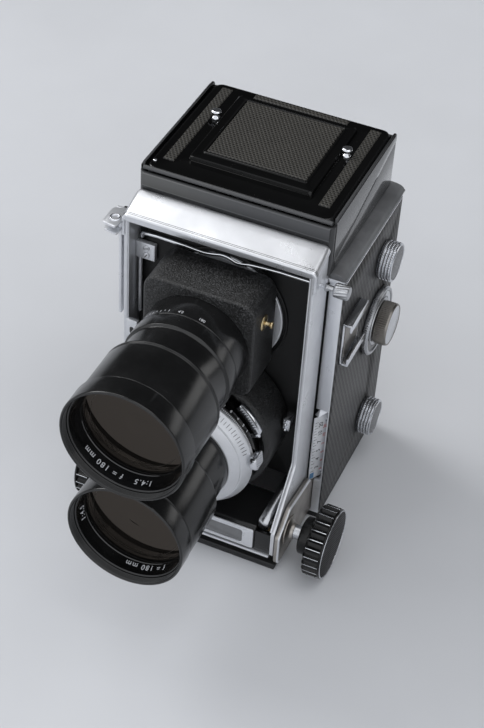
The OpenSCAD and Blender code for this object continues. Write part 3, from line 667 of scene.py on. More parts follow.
def view_barrel():
    front = -view_low.y
    ring = (view_high.x - view_low.x) / 2
    tube_r = ring - 0.8
    profile = [
        (BORE_R, 66.05), (21.5, 66.05), (21.5, 77.4), (21.3, 77.6), (21.3, 78.0), (22.0, 78.2), (22.0, 84.8),
        (21.1, 85.4), (21.1, 96.8), (tube_r - 0.5, 97.3), (tube_r, 97.8), (tube_r, 98.5), (tube_r - 0.3, 98.7),
        (tube_r, 98.9), (tube_r, 99.3), (tube_r - 0.3, 99.5), (tube_r, 99.7), (tube_r, 119.4),
        (tube_r - 0.3, 119.6), (tube_r - 0.3, 119.9), (ring, 120.2),
        *lens_rim(ring, front, GLASS_R, front - 12.6), (19.7, 112), (BORE_R, 110),
    ]
    piece("view_barrel_turned", turned(profile, lens_axis(VIEW_Z), 160, softness=0.22),
          "barrel_black", "front", stands_for=["view_barrel"])


def take_barrel():
    front = -take_low.y
    ring = (take_high.x - take_low.x) / 2
    tube_r = ring - 0.25
    profile = [
        (BORE_R, 58.7), (20.9, 58.7), (20.9, 92.6), (20.7, 92.8), (20.7, 93.1), (tube_r - 0.8, 94.0),
        (tube_r, 95.2), (tube_r, 118.0), (tube_r - 0.35, 118.2), (tube_r - 0.35, 118.5), (ring, 118.9),
        *lens_rim(ring, front, GLASS_R, front - 11.6), (19.6, 109), (BORE_R, 107),
    ]
    piece("take_barrel_turned", turned(profile, lens_axis(TAKE_Z), 160, softness=0.22),
          "barrel_black", "front", stands_for=["take_barrel"])


def rim_linings():
    """The glossy black rings between the filter thread and the glass."""
    for label, z, low, high, depth in (("view", VIEW_Z, view_low, view_high, 12.6),
                                       ("take", TAKE_Z, take_low, take_high, 11.6)):
        front, r = -low.y, (high.x - low.x) / 2
        seat = front - depth
        slope = [(r - 2.1, front - 3.55), (GLASS_R + 0.75, seat + 3.1), (GLASS_R + 0.35, seat + 2.6),
                 (GLASS_R + 0.1, seat + 0.9)]
        back = [(radius + 0.35, forward - 0.3) for radius, forward in reversed(slope)]
        piece(f"{label}_rim_lining", turned(slope + back, lens_axis(z), 144, softness=0.1), "rim_gloss", "front")


def dome(radius, rim_at, bulge, hollow, steps=10):
    """Profile of a lens element from its back centre round the rim to its front centre."""
    back = [(radius * k / steps, rim_at - 3 - hollow * (1 - (k / steps) ** 2)) for k in range(steps + 1)]
    fore = [(radius * k / steps, rim_at + bulge * (1 - (k / steps) ** 2)) for k in range(steps, -1, -1)]
    return back + fore


def glasses():
    for name, node, z, rim_at in (("view_elements", "view_glass", VIEW_Z, -view_low.y - 11.9),
                                  ("take_elements", "take_glass", TAKE_Z, -take_low.y - 10.9)):
        front = turned(dome(GLASS_R + 0.2, rim_at, -1.7, -1.5), lens_axis(z), 128, ring=False, softness=0)
        rear = turned(dome(16.9, 45.0, 1.2, 0.6), lens_axis(z), 96, ring=False, softness=0)
        piece(name, merged(front, rear), "lens_glass", "front", sharp=50, stands_for=[node])
        # the fine bright line where the element's chamfer catches the light
        line_r = GLASS_R - 2.2
        line = turned([(line_r, rim_at - 0.28), (line_r + 0.12, rim_at - 0.22), (line_r, rim_at - 0.18)],
                      lens_axis(z), 128, softness=0)
        piece(name + "_line", line, "gunmetal", "front")


def ring_words(words, radius, forward, slope, height, spread=1.0):
    """Words set on a cone round a lens axis, tops outwards; words is a list of (text, degrees)."""
    parts = []
    for text, degrees in words:
        flat, faces = letters(text, height, spread=spread)
        bent = []
        for v in flat:
            a = math.radians(degrees) - v.x / radius
            r = radius + v.y * slope[0] - v.z * slope[1]
            bent.append(Vector((r * math.cos(a), r * math.sin(a), forward + v.y * slope[1] + v.z * slope[0])))
        parts.append((bent, faces))
    return merged(*parts)


def lens_markings():
    """Generic focal length and aperture figures inside the two rims."""
    slope = Vector((0.28, 0.96))
    for label, z, low, ring, words in (
            ("view", VIEW_Z, view_low, view_high, [("1:4.5", 286), ("f = 180 mm", 240)]),
            ("take", TAKE_Z, take_low, take_high, [("f = 180 mm", 288), ("1:4.5", 186)])):
        r = (ring.x - low.x) / 2
        rim = ring_words(words, r - 3.05, -low.y - 6.6, slope, 2.15, 1.25)
        piece(f"{label}_rim_figures", moved(rim, lens_axis(z)), "white_enamel", "front")
    # small white figures on the tube behind the barrel, tops towards the front
    collar = ring_words([("180", 74), ("4.5", 97)], 21.52, 75.7, Vector((0.0, 1.0)), 1.25)
    ticks = []
    for k in range(7):
        place = on_axis(VIEW_Z, 110 + 5 * k) @ Matrix.Translation((21.5, 0, 75.7))
        ticks.append(moved(block((-0.03, -0.1, -0.5), (0.04, 0.1, 0.2 if k % 2 else 0.6), 0.01), place))
    piece("view_barrel_ticks", merged(moved(collar, lens_axis(VIEW_Z)), *ticks), "white_enamel", "front")


view_barrel()
take_barrel()
rim_linings()
glasses()
lens_markings()


# ---------- lens housings ----------

house_low, house_high = span("view_housing")
shut_low, shut_high = span("shutter_housing")


def view_housing():
    half = (house_high.x - house_low.x) / 2
    outline = round_rect(-half, half, house_low.z, house_high.z, 6, 7)
    shut_r = (shut_high.x - shut_low.x) / 2 + 0.1
    reach = math.sqrt(shut_r ** 2 - (house_low.z - TAKE_Z) ** 2)
    notch = [(x, TAKE_Z + math.sqrt(shut_r ** 2 - x * x)) for x in [reach * (k / 6 - 1) for k in range(13)]]
    left = [p for p in outline if p[0] < 0]
    right_low = [p for p in outline if p[0] > 0 and p[1] < VIEW_Z]
    right_high = [p for p in outline if p[0] > 0 and p[1] >= VIEW_Z]
    outline = right_high + left + notch + right_low
    piece("view_housing_shell", prism(outline, FRONTAL, -house_high.y, -house_low.y, 1.1, 4),
          "crinkle_paint", "front", stands_for=["view_housing"])


def housing_stud():
    """Brass stud on the housing's left side."""
    place = facing((house_high.x, -57, 119.5), (1, 0, 0))
    profile = [(0, 0), (3.3, 0), (3.3, 0.35), (2.6, 0.7), (1.0, 0.9), (0.9, 2.7), (1.5, 3.0), (1.5, 3.7), (0, 3.9)]
    piece("housing_stud", turned(profile, place, 48, ring=False, softness=0.2), "brass", "front")


def shutter_housing():
    r = (shut_high.x - shut_low.x) / 2
    front, back = -shut_low.y, -shut_high.y
    profile = [
        (17.2, back), (29.4, back), (r, back + 1.4), (r, front - 2.2), (r - 0.6, front - 0.7), (r - 1.7, front),
        (28.9, front), (28.3, front - 0.5), (28.2, front - 1.2), (28.2, 58.8), (17.2, 58.8),
    ]
    piece("shutter_housing_shell", turned(profile, lens_axis(TAKE_Z), 144, softness=0.5),
          "crinkle_paint", "front", stands_for=["shutter_housing"])


view_housing()
housing_stud()
shutter_housing()


# ---------- shutter controls ----------

def aperture_ring():
    profile = [
        (20.95, 71.1), (28.3, 71.1), (28.3, 72.0), (25.45, 75.75), (25.15, 75.8), (25.0, 76.3),
        (21.6, 78.45), (20.95, 78.5),
    ]
    place = on_axis(TAKE_Z, 8)
    piece("aperture_cone", turned(profile, lens_axis(TAKE_Z), 160, softness=0.14), "satin_silver", "aperture",
          stands_for=["aperture_ring"])
    grip = prism(round_rect(-2.6, 3.4, 67.2, 74.5, 1.5, 5), place @ SIDEWAYS, 28.45, 31.2, 0.5, 3)
    # a stem that joins the grip to the cone, then its chequered teeth
    teeth = [moved(block((27.9, -2.2, 71.4), (28.8, 2.2, 72.1), 0.1), place)]
    for i in range(5):
        for j in range(7):
            at = place @ Matrix.Translation((31.1, -1.6 + i * 1.0, 68.4 + j * 0.85))
            base = [(0, -0.42, -0.36), (0, 0.42, -0.36), (0, 0.42, 0.36), (0, -0.42, 0.36)]
            tip = [(0.42, 0.12 * (1 if y > 0 else -1), 0.1 * (1 if z > 0 else -1)) for _, y, z in base]
            teeth.append(loft([[at @ Vector(p) for p in base], [at @ Vector(p) for p in tip]]))
    piece("aperture_grip", merged(grip, *teeth), "chrome", "aperture", sharp=25)
    marks = []
    for k in range(22):
        spot = on_axis(TAKE_Z, 18 + 3.4 * k) @ Matrix.Translation((26.95, 0, 73.85))
        tilt = spot @ Matrix.Rotation(math.radians(-38), 4, "Y")
        marks.append(moved(block((-0.05, -0.08, -0.9 - 0.4 * (k % 2)), (0.06, 0.08, 0.9), 0.01), tilt))
    piece("aperture_marks", merged(*marks), "black_mark", "aperture")
    words = ring_words([("4", 24), ("5.6", 39), ("8", 53), ("11", 66)], 23.1, 77.45, Vector((0.84, -0.54)), 1.9)
    piece("aperture_figures", moved(words, lens_axis(TAKE_Z)), "black_mark", "aperture")


def speed_ring():
    profile = [
        (20.95, 62.5), (27.4, 62.5), (27.4, 66.6), (28.2, 67.4), (28.3, 68.0), (28.3, 69.2), (27.9, 69.9),
        (27.2, 70.8), (20.95, 70.8),
    ]
    piece("speed_ring_turned", turned(profile, lens_axis(TAKE_Z), 144, softness=0.15), "black_lacquer", "speed",
          stands_for=["speed_ring"])
    comb = []
    for k in range(48):
        place = on_axis(TAKE_Z, 2 + 1.55 * k) @ Matrix.Translation((27.75, 0, 70.0))
        comb.append(moved(block((-0.5, -0.2, -0.1), (0.5, 0.2, 0.6), 0.05), place))
    piece("speed_comb", merged(*comb), "white_enamel", "speed")
    words = ring_words([("15", 62), ("8", 54), ("4", 46), ("2", 39), ("1", 33)], 28.3, 68.2,
                       Vector((0.0, 1.0)), 1.3)
    piece("speed_figures", moved(words, lens_axis(TAKE_Z)), "white_enamel", "speed")


def cocking_lever():
    low, high = span("cocking_lever")
    outline = arc((0, 0), 30.9, 24, 52, 14) + arc((0, 0), 28.3, 52, 24, 14)
    bar = prism(soften(outline, 0.5, closed=True, steps=2), lens_axis(TAKE_Z), -high.y, -low.y - 0.5, 0.3)
    notches = []
    for k in range(9):
        place = on_axis(TAKE_Z, 31 + 2.3 * k) @ Matrix.Translation((29.6, 0, -low.y - 0.35))
        notches.append(moved(block((-1.2, -0.36, -0.3), (1.2, 0.36, 0.35), 0.15), place))
    stub = moved(block((-3.6, -1.1, -1.6), (1.0, 1.1, -0.2), 0.4),
                 on_axis(TAKE_Z, 24) @ Matrix.Translation((29.6, 0, -low.y)))
    piece("cocking_bar", merged(bar, stub, *notches), "chrome", "cocking", stands_for=["cocking_lever"])


def sync_terminal():
    low, high = span("sync_terminal")
    body = block((low.x, low.y + 1.4, low.z), (high.x, high.y, high.z), 0.4)
    ribs = [block((x, low.y + 1.2, low.z + 0.4), (x + 0.3, low.y + 1.6, high.z - 0.4), 0.08)
            for x in [low.x + 0.5 + 0.75 * k for k in range(4)]]
    pin = [(0, 0), (0.6, 0), (0.6, 1.4), (0.35, 1.7), (0, 1.75)]
    pins = [turned(pin, facing((low.x + 1.6, low.y + 1.5, z), (0, -1, 0)), 24, ring=False, softness=0.1)
            for z in (low.z + 1.6, high.z - 1.6)]
    piece("sync_socket", merged(body, *ribs, *pins), "chrome", "front", stands_for=["sync_terminal"])


aperture_ring()
speed_ring()
cocking_lever()
sync_terminal()


# ---------- front standard ----------

std_low, std_high = span("standard_frame")
board_low, board_high = span("lens_board")
foot_low, foot_high = span("foot_cover")
PLATE = 1.7          # thickness of the standard's side plates
PILLAR_Y = -50.0     # front edge of the pillars


def pillars():
    """Side plates of the standard, each widening into the foot."""
    y_front, y_foot, y_back = PILLAR_Y, std_low.y, std_high.y
    tray_front = span("finder_base")[0].y
    outline = [
        (y_front + 1.2, 142.6), (y_front, 141.1), (y_front, 44.3), (y_foot, 21.0), (y_foot, 8.4),
        (y_foot + 1.6, 8.4), (y_foot + 1.6, 21.9), (y_back, 21.9), (y_back, 132.2), (tray_front - 0.2, 132.2),
        (tray_front - 0.2, std_high.z),
    ]
    outline = soften(outline, 1.2, closed=True, steps=4)
    half = (std_high.x - std_low.x) / 2
    parts = [prism(outline, SIDEWAYS, x, x + PLATE, 0.35) for x in (half - PLATE, -half)]
    # a thin raised bead along the inside of each front edge
    for side in (1, -1):
        x = side * (half - PLATE - 0.25)
        line = [(x, y_front + 0.4, 140.8), (x, y_front + 0.4, 44.6), (x, y_foot + 0.7, 21.4)]
        parts.append(tube(line, 0.3, 8, 1.0))
    # a small slotted bracket on the right pillar
    parts.append(block((PLATE - half - 0.1, y_front - 0.7, 84), (6.4 - half, y_front + 1.2, 93), 0.35))
    piece("pillars", merged(*parts), "satin_silver", "front", stands_for=["standard_frame"])
    slot = prism(round_rect(PLATE - half + 1.4, PLATE - half + 3.2, 86.2, 89.6, 0.8, 4), FRONTAL,
                 0.6 - y_front, 0.72 - y_front, 0.01, 1)
    piece("bracket_slot", slot, "black_mark", "front")


def panels():
    low, high = span("front_panel")
    outer = round_rect(low.x, high.x, low.z, high.z, 0.5, 4)
    inner = round_rect(-31, 31, 34, 124, 2.0, 4)
    piece("front_panel_plate", window(outer, inner, FRONTAL, -high.y, -low.y), "black_paint", "front",
          stands_for=["front_panel"])
    board = prism(round_rect(board_low.x, board_high.x, board_low.z, board_high.z, 3, 6), FRONTAL,
                  -board_high.y, 41.0, 0.4)
    ring = turned([(22.0, 40.5), (27.2, 40.5), (27.2, 41.9), (26.6, 42.2), (25.9, 41.8), (22, 41.8)],
                  lens_axis(VIEW_Z), 96)
    piece("lens_board_plate", merged(board, ring), "black_paint", "front", stands_for=["lens_board"])
    disc = turned([(18, 40.9), (25.2, 40.9), (25.2, 42.3), (24.9, 42.6), (18, 42.6)], lens_axis(VIEW_Z), 96)
    piece("view_flange", disc, "satin_silver", "front")
    spots = ((33.6, 62), (33.6, 40), (-33.6, 62), (-33.6, 40), (34.2, 118), (34.2, 112))
    rivets = [turned([(0, 0), (0.75, 0), (0.6, 0.35), (0, 0.5)], facing((x, low.y, z), (0, -1, 0)), 20, ring=False,
                     softness=0.1) for x, z in spots]
    piece("panel_rivets", merged(*rivets), "steel", "front")


def hood():
    """Pressed hood over the lenses: a flat sloping top, a turned-down lip and two narrow side flaps."""
    low, high = span("name_hood")
    half, corner, sheet = high.x, 2.6, 0.8
    back, face = -high.y, -low.y
    lip_z = 143.8
    fall = (high.z - lip_z) / (face - back)

    def level(forward):
        return high.z - fall * (forward - back)

    # stations across, from the lower end of the right flap over the top to the left flap
    around = [(-half, -2.4 * k, (-1, 0)) for k in (4, 3, 2, 1.3)]
    around += [(-half + corner * (1 - math.cos(a)), corner * (math.sin(a) - 1), (-math.cos(a), math.sin(a)))
               for a in [math.pi / 2 * k / 8 for k in range(9)]]
    middle = half - corner
    around += [(middle * (k / 6 - 1), 0.0, (0, 1)) for k in range(1, 12)]
    around += [(-x, z, (-n[0], n[1])) for x, z, n in reversed(around[:13])]

    # stations from back to front: distance forward and how far the skin is pressed inwards
    profile = [(back, 1.1), (back + 0.25, 0.55), (back + 0.8, 0.12), (back + 1.5, 0.0), (back + 5, 0.0)]
    profile += [(face - 1.4, 0.0), (face - 0.5, 0.02), (face - 0.15, 0.15), (face, 0.5), (face, 1.2), (face, 2.55)]
    columns = []
    for x, z, n in around:
        flap = max(0.0, min(1.0, (-z - corner + 0.3) / 2.0))
        column = []
        for forward, sink in profile:
            # below the corner only a strip by the front edge is left
            reach = forward + (face - 1.9 - forward) * flap if forward < face - 1.9 else forward
            sink = min(sink, 1.3) if n[1] < 0.5 else sink
            column.append(Vector((x - n[0] * sink, -reach, level(reach) + z - n[1] * sink)))
        columns.append(column)
    rows = len(profile)
    verts = [v for column in columns for v in column]
    faces = [(i * rows + j, (i + 1) * rows + j, (i + 1) * rows + j + 1, i * rows + j + 1)
             for i in range(len(columns) - 1) for j in range(rows - 1)]
    made = piece("hood", (verts, faces), "hood_silver", "front", sharp=50, stands_for=["name_hood"])
    thick = made.modifiers.new("thick", "SOLIDIFY")
    thick.thickness = sheet * MM
    thick.offset = -1
    soft = made.modifiers.new("soft", "BEVEL")
    soft.width = 0.15 * MM
    soft.segments = 2
    soft.limit_method = "ANGLE"
    soft.angle_limit = math.radians(50)
    # two fine scored lines beside the lip
    scores = []
    for forward in (face - 1.15, face - 1.75):
        path = [(x - n[0] * 0.02, -forward, level(forward) + z + 0.02 * n[1]) for x, z, n in around[5:-5]]
        scores.append(tube(path, 0.085, 6))
    piece("hood_scores", merged(*scores), "black_mark", "front")


def foot():
    plate_low, plate_high = span("foot_nameplate")
    front = foot_low.y
    bottom, top, back = 8.5, foot_high.z, foot_high.y
    profile = [(front, bottom), (front, 19.6), (front + 1.3, top), (back, top), (back, top - 1.2),
               (front + 1.4, top - 1.2), (front + 1.4, bottom)]
    cover = prism(soften(profile, 0.7, closed=True, steps=3), SIDEWAYS, -30.4, 30.4, 0.2)
    sides = [block((x0, front, bottom), (x1, front + 2.4, 19.7), 0.4)
             for x0, x1 in ((30.45, foot_high.x), (foot_low.x, -30.45))]
    piece("foot_cover_shell", merged(cover, *sides), "black_lacquer", "front", stands_for=["foot_cover"])
    edge = -plate_low.y
    outer = round_rect(-30, 30, 9.6, plate_high.z, 0.8, 5)
    inner = round_rect(-25.2, 25.2, 11.3, plate_high.z - 1.9, 0.9, 5)
    rim = window(outer, inner, FRONTAL, edge - 0.85, edge, 0.18)
    strip = block((plate_low.x, plate_low.y, plate_low.z), (plate_high.x, plate_high.y, 8.38), 0.3)
    top_roll = tube([(-29.8, -edge + 0.45, plate_high.z - 0.1), (29.8, -edge + 0.45, plate_high.z - 0.1)], 0.4, 10)
    piece("foot_trim", merged(rim, strip, top_roll), "satin_silver", "front", stands_for=["foot_nameplate"])
    label = prism(round_rect(-25.1, 25.1, 11.4, plate_high.z - 2.0, 0.8, 5), FRONTAL, edge - 0.8, edge - 0.35, 0.1)
    piece("foot_label", label, "dark_satin", "front")


pillars()
panels()
hood()
foot()


# ---------- bail, clamp and release ----------

def bail():
    low, high = span("bail_wire")
    grip_low, grip_high = span("bail_knob")
    y, z = (grip_low.y + grip_high.y) / 2, (grip_low.z + grip_high.z) / 2
    waves = [(-35, -1.6), (-29, -1.2), (-23, -1.3), (-17, -1.5), (-12.4, -1.85), (-8.2, -2.0), (-4.9, -1.3),
             (-1.4, -0.3), (1.4, -0.6), (4.3, -2.0), (7.2, -1.8), (10.2, -0.9), (16, -0.4), (22.5, 0.0)]
    path = [(low.x + 0.8, y, low.z)] + [(x, y, z + dz) for x, dz in waves] + [(high.x - 0.3, y, z)]
    piece("bail_bar", tube(path, 0.8, 16, 2.2), "chrome", "bail", stands_for=["bail_wire"])
    place = facing((0, y, z), (1, 0, 0))
    radius = (grip_high.z - grip_low.z) / 2
    knurl = ripple(14, 0.3, lambda r, h: r >= radius - 0.3 and 44.9 < h < 49.9, lean=1.1, start=44)
    profile = [(0, 44.4), (radius - 0.5, 44.4), (radius - 0.15, 44.75)]
    profile += [(radius, 45.0 + 0.4 * k) for k in range(13)]
    profile += [(radius - 0.2, 50.1), (radius - 0.5, 50.35), (0, 50.4)]
    knob = turned(profile, place, 128, ring=False, softness=0.08, wave=knurl)
    stem = turned([(0.8, 40.6), (1.4, 40.7), (1.4, 42.0), (1.1, 42.2), (1.1, 44.5), (0.8, 44.5)], place, 32)
    piece("bail_grip", merged(knob, stem), "steel", "bail", stands_for=["bail_knob"])


def clamp():
    low, high = span("bail_clamp")
    x1 = high.x
    plate = block((low.x, -43.3, 119.4), (x1, -41.1, high.z), 0.35)
    rod_x = low.x + 1.6
    leg = tube([(rod_x, -42.2, 120), (rod_x, -42.2, low.z + 2), (rod_x, -42.0, low.z)], 0.75, 16, 0.5)
    heads, cuts = screws([(facing(((low.x + x1) / 2 + 0.5, -43.3, z), (0, -1, 0)), turn)
                          for z, turn in ((121.6, 55), (125.0, 20))], 1.35)
    piece("clamp_block", merged(plate, leg, *heads), "satin_silver", "front", stands_for=["bail_clamp"])
    piece("clamp_slots", merged(*cuts), "black_mark", "front")


def release():
    """Two-layered finger plate with an eyelet, on the user's right."""
    low, high = span("release_lever")
    x0, x1 = low.x, high.x
    y0, y1 = low.y, high.y
    upper = soften([(x0, y0 + 1), (x1, y0), (x1, y1), (x0, y1 - 2)], 1.6, closed=True)
    lower = soften([(x0 + 0.3, y0 + 1.6), (x1, y0 + 0.6), (x1, y1 - 1), (x0 + 0.3, y1 - 3)], 1.4, closed=True)
    layers = [prism(upper, PLAN, high.z - 1.1, high.z, 0.25), prism(lower, PLAN, high.z - 4.6, high.z - 3.8, 0.25)]
    fold = block((x0 + 0.9, y1 - 1.2, 133.5), (x1, y1, high.z - 0.2), 0.3)
    rod = block((x1 - 1.4, -49, low.z), (x1, -44, high.z - 0.4), 0.35)
    piece("release_plate", merged(*layers, fold, rod), "satin_silver", "release", stands_for=["release_lever"])
    centre = ((x0 + x1) / 2 + 0.4, (y0 + y1) / 2 - 1.3, high.z)
    eye = turned([(1.3, -1.8), (2.3, -1.8), (2.3, 0.0), (2.0, 0.55), (1.55, 0.5), (1.3, 0.0)],
                 Matrix.Translation(centre), 48)
    piece("release_eyelet", eye, "chrome", "release")
    core = turned([(0, -1.0), (1.3, -1.0), (1.3, -0.5), (0, -0.6)], Matrix.Translation(centre), 32, ring=False)
    piece("release_core", core, "brass", "release")


bail()
clamp()
release()


# ---------- bellows ----------

def bellows():
    """Six pleats between the body and the standard, hollow inside."""
    low, high = span("bellows")
    half_pleats, inner_steps = 12, 8

    def ring(share, pull, corner):
        y = high.y + (low.y - high.y) * share
        outline = round_rect(low.x + pull, high.x - pull, low.z + pull, high.z - pull, corner, 4)
        return [Vector((p[0], y, p[1])) for p in outline]

    rings = [ring(k / half_pleats, 2.6 if k % 2 else 0.2, 4) for k in range(half_pleats + 1)]
    rings += [ring(1 - k / inner_steps, 3.2, 3) for k in range(inner_steps + 1)]
    made = piece("bellows_pleats", loft(rings, closed=True), "bellows_leather", None, sharp=25,
                 stands_for=["bellows"])
    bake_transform(made)


bellows()


# ---------- focusing drive, cheeks and distance scale ----------

def focus_knobs():
    """Fluted knobs with bright ridge tips and a bright rim; the right one sits closer to the body."""
    low, high = span("focus_knobs")
    y, z = (low.y + high.y) / 2, (low.z + high.z) / 2
    radius = (high.z - low.z) / 2
    ridges = 24
    for side, label, outer, long, collar_near in (
            (1, "left", high.x, 8.4, high.x - 13.4), (-1, "right", -low.x, 7.2, -low.x - 8.7)):
        place = facing((0, y, z), (side, 0, 0))
        back = outer - long

        def flute(a, r, h):
            if r < radius - 1.2:
                return 0
            off = abs((a * ridges / (2 * math.pi)) % 1.0 - 0.5)
            return -1.25 * (1 - (off / 0.40) ** 4) if off < 0.40 else 0

        rim = [(radius - 0.9, back), (radius - 0.1, back + 0.7), (radius, back + 1.0), (radius, outer - 1.5)]
        profile = [(3.05, back)] + rim + [(radius - 1.15, outer - 1.1), (3.05, outer - 1.1)]
        wheel = turned(profile, place, ridges * 14, softness=0.12, wave=flute)
        piece(f"focus_knob_{label}", wheel, "black_knob", "focus_drive", sharp=30,
              stands_for=["focus_knobs"] if side > 0 else ())
        tips = []
        for k in range(ridges):
            at = spun(place, 360 * k / ridges) @ Matrix.Translation((radius - 0.03, 0, 0))
            tips.append(moved(block((-0.4, -0.15, back + 0.8), (0.08, 0.15, outer - 1.3), 0.05), at))
        piece(f"focus_knob_tips_{label}", merged(*tips), "chrome", "focus_drive")
        profile = [(-0.8, -1.4), (-0.08, -1.3), (-0.08, -0.8), (-0.5, -0.3), (-1.0, -0.35), (-1.1, -1.2)]
        band = turned([(radius + r, outer + h) for r, h in profile], place, 96)
        piece(f"focus_knob_band_{label}", band, "black_lacquer", "focus_drive")
        profile = [(-0.75, -0.5), (-0.45, -0.36), (-0.6, -0.15), (-1.0, -0.2), (-1.05, -0.5)]
        edge = turned([(radius + r, outer + h) for r, h in profile], place, 96, softness=0.08)
        piece(f"focus_knob_bright_{label}", edge, "chrome", "focus_drive")
        face_r = radius - 1.05
        face = turned([(0, outer - 1.4), (face_r, outer - 1.4), (face_r, outer - 0.5), (0, outer - 0.5)], place, 64,
                      ring=False, softness=0.1)
        lines = hatching(spun(place, 62), face_r - 0.3, 10, 1.3, outer - 0.6, outer - 0.22, 0.14)
        piece(f"focus_knob_face_{label}", merged(face, *lines), "knob_face", "focus_drive")
        collar = turned([(3.05, collar_near), (7.3, collar_near), (8, collar_near + 0.6), (8, back - 0.1),
                         (3.05, back - 0.1)], place, 72, softness=0.3)
        piece(f"focus_collar_{label}", collar, "black_knob", "focus_drive",
              stands_for=["knob_collars"] if side > 0 else ())


def cheeks():
    """Side plates that carry the focusing shaft: a dished face inside a rolled rim, and a flared boss."""
    low, high = span("focus_cheeks")
    shaft_low, shaft_high = span("focus_shaft")
    axle = ((shaft_low.y + shaft_high.y) / 2, (shaft_low.z + shaft_high.z) / 2)
    bend = arc((low.y + 4.6, low.z + 4.6), 4.6, 180, 270, 8)
    outline = [(-25, 23), (-35.6, 23), (-36.6, 25.8), (-58.8, high.z), (low.y, 20.8)] + bend + [(-25, low.z)]
    soft = soften(outline, 1.6, closed=True, steps=4)
    edge = [p for p in inset(soft, 0.55) if p.x < -36.9]
    for side, label in ((1, "left"), (-1, "right")):
        x0, x1 = (39.5, 41.3) if side > 0 else (-41.3, -39.5)
        plate = prism(soft, SIDEWAYS, x0, x1, 0.4, 3)
        rim = tube([(side * 41.15, p.x, p.y) for p in edge], 0.6, 12)
        place = facing((0, *axle), (side, 0, 0))
        # the left boss flares out along the shaft, the right one is cut short by its knob
        flare = [(3.06, 41.88)]
        if side > 0:
            flare = [(4.7, 42.1), (3.9, 42.8), (3.55, 43.7), (3.4, 44.15), (3.06, 44.15)]
        boss = turned([(3.06, 41.1), (6.4, 41.1), (6.45, 41.6), (6.2, 41.85)] + flare, place, 72, softness=0.3)
        piece(f"cheek_{label}", merged(plate, boss), "cheek_silver", "body",
              stands_for=["focus_cheeks"] if side > 0 else ())
        piece(f"cheek_rim_{label}", rim, "satin_silver", "body")
        dots = []
        line = [p for p in inset(soft, 1.75) if p.x < -38.5 and p.y > 19]
        for a, b in zip(line, line[1:]):
            count = max(1, round((b - a).length / 0.8))
            for spot in [a.lerp(b, k / count) for k in range(count)]:
                dots.append(turned([(0, 41.2), (0.24, 41.2), (0.2, 41.4), (0, 41.45)],
                                   facing((0, spot.x, spot.y), (side, 0, 0)), 8, ring=False, softness=0))
        piece(f"cheek_dots_{label}", merged(*dots), "black_mark", "body")


def distance_scale():
    """White plate with two columns of generic figures, its screws and the cap above it."""
    z0, z1 = 23.2, 58.3
    base = Matrix.Translation((39.6, -35, 0)) @ Matrix.Rotation(math.radians(58.4), 4, "Z")
    front = base @ facing((0, -0.8, 0), (0, -1, 0))
    plate = prism(round_rect(0, 7.4, z0, z1, 0.3, 3), front, -0.78, 0.0, 0.12)
    piece("scale_plate", plate, "white_enamel", "body", stands_for=["distance_scale"])

    def mark(u0, u1, w0, w1, corner=0.02):
        return prism(round_rect(u0, u1, w0, w1, corner, 1), front, 0, 0.03, 0.01, 1)

    black, red = [], []
    for k in range(17):
        z = z0 + 4.4 + 28.0 * (k / 16) ** 0.9
        black.append(mark(0.3, 1.3 if k % 2 else 2.0, z - 0.11, z + 0.11))
    figures = ["3", "4", "5", "7", "10", "20"]
    for k, text in enumerate(figures):
        z = z0 + 6.0 + 24.6 * k / (len(figures) - 1)
        black.append(moved(letters(text, 1.9), spun(front @ Matrix.Translation((3.4, z, 0.01)), 90)))
        red.append(moved(letters(text, 1.5), spun(front @ Matrix.Translation((5.6, z - 1.9, 0.01)), 90)))
        red.append(mark(6.7, 7.1, z - 0.12, z + 0.12))
    piece("scale_black", merged(*black), "black_mark", "body")
    piece("scale_red", merged(*red), "red_mark", "body")
    piece("scale_blue", mark(0.25, 2.3, z0 + 0.4, z0 + 3.4, 0.05), "blue_mark", "body")
    heads, cuts = screws([(front @ Matrix.Translation((6.2, z, 0)), turn)
                          for z, turn in ((z0 + 2.6, 40), (z0 + 32.4, 15))], 1.0)
    piece("scale_screw_heads", merged(*heads), "chrome", "body", stands_for=["scale_screws"])
    piece("scale_screw_slots", merged(*cuts), "black_mark", "body")
    foot = [base @ Vector((*p, z1 + 0.1)) for p in ((1.6, -0.8), (7.3, -0.8), (7.3, 1.4), (1.6, 1.4))]
    crown = [Vector((*p, 62.1)) for p in ((41.2, -33.0), (44.7, -32.4), (44.7, -30.5), (41.2, -30.5))]
    piece("scale_cap", loft([foot, crown]), "satin_silver", "body")


focus_knobs()
cheeks()
distance_scale()


# ---------- left side: knobs, dial, shoe ----------

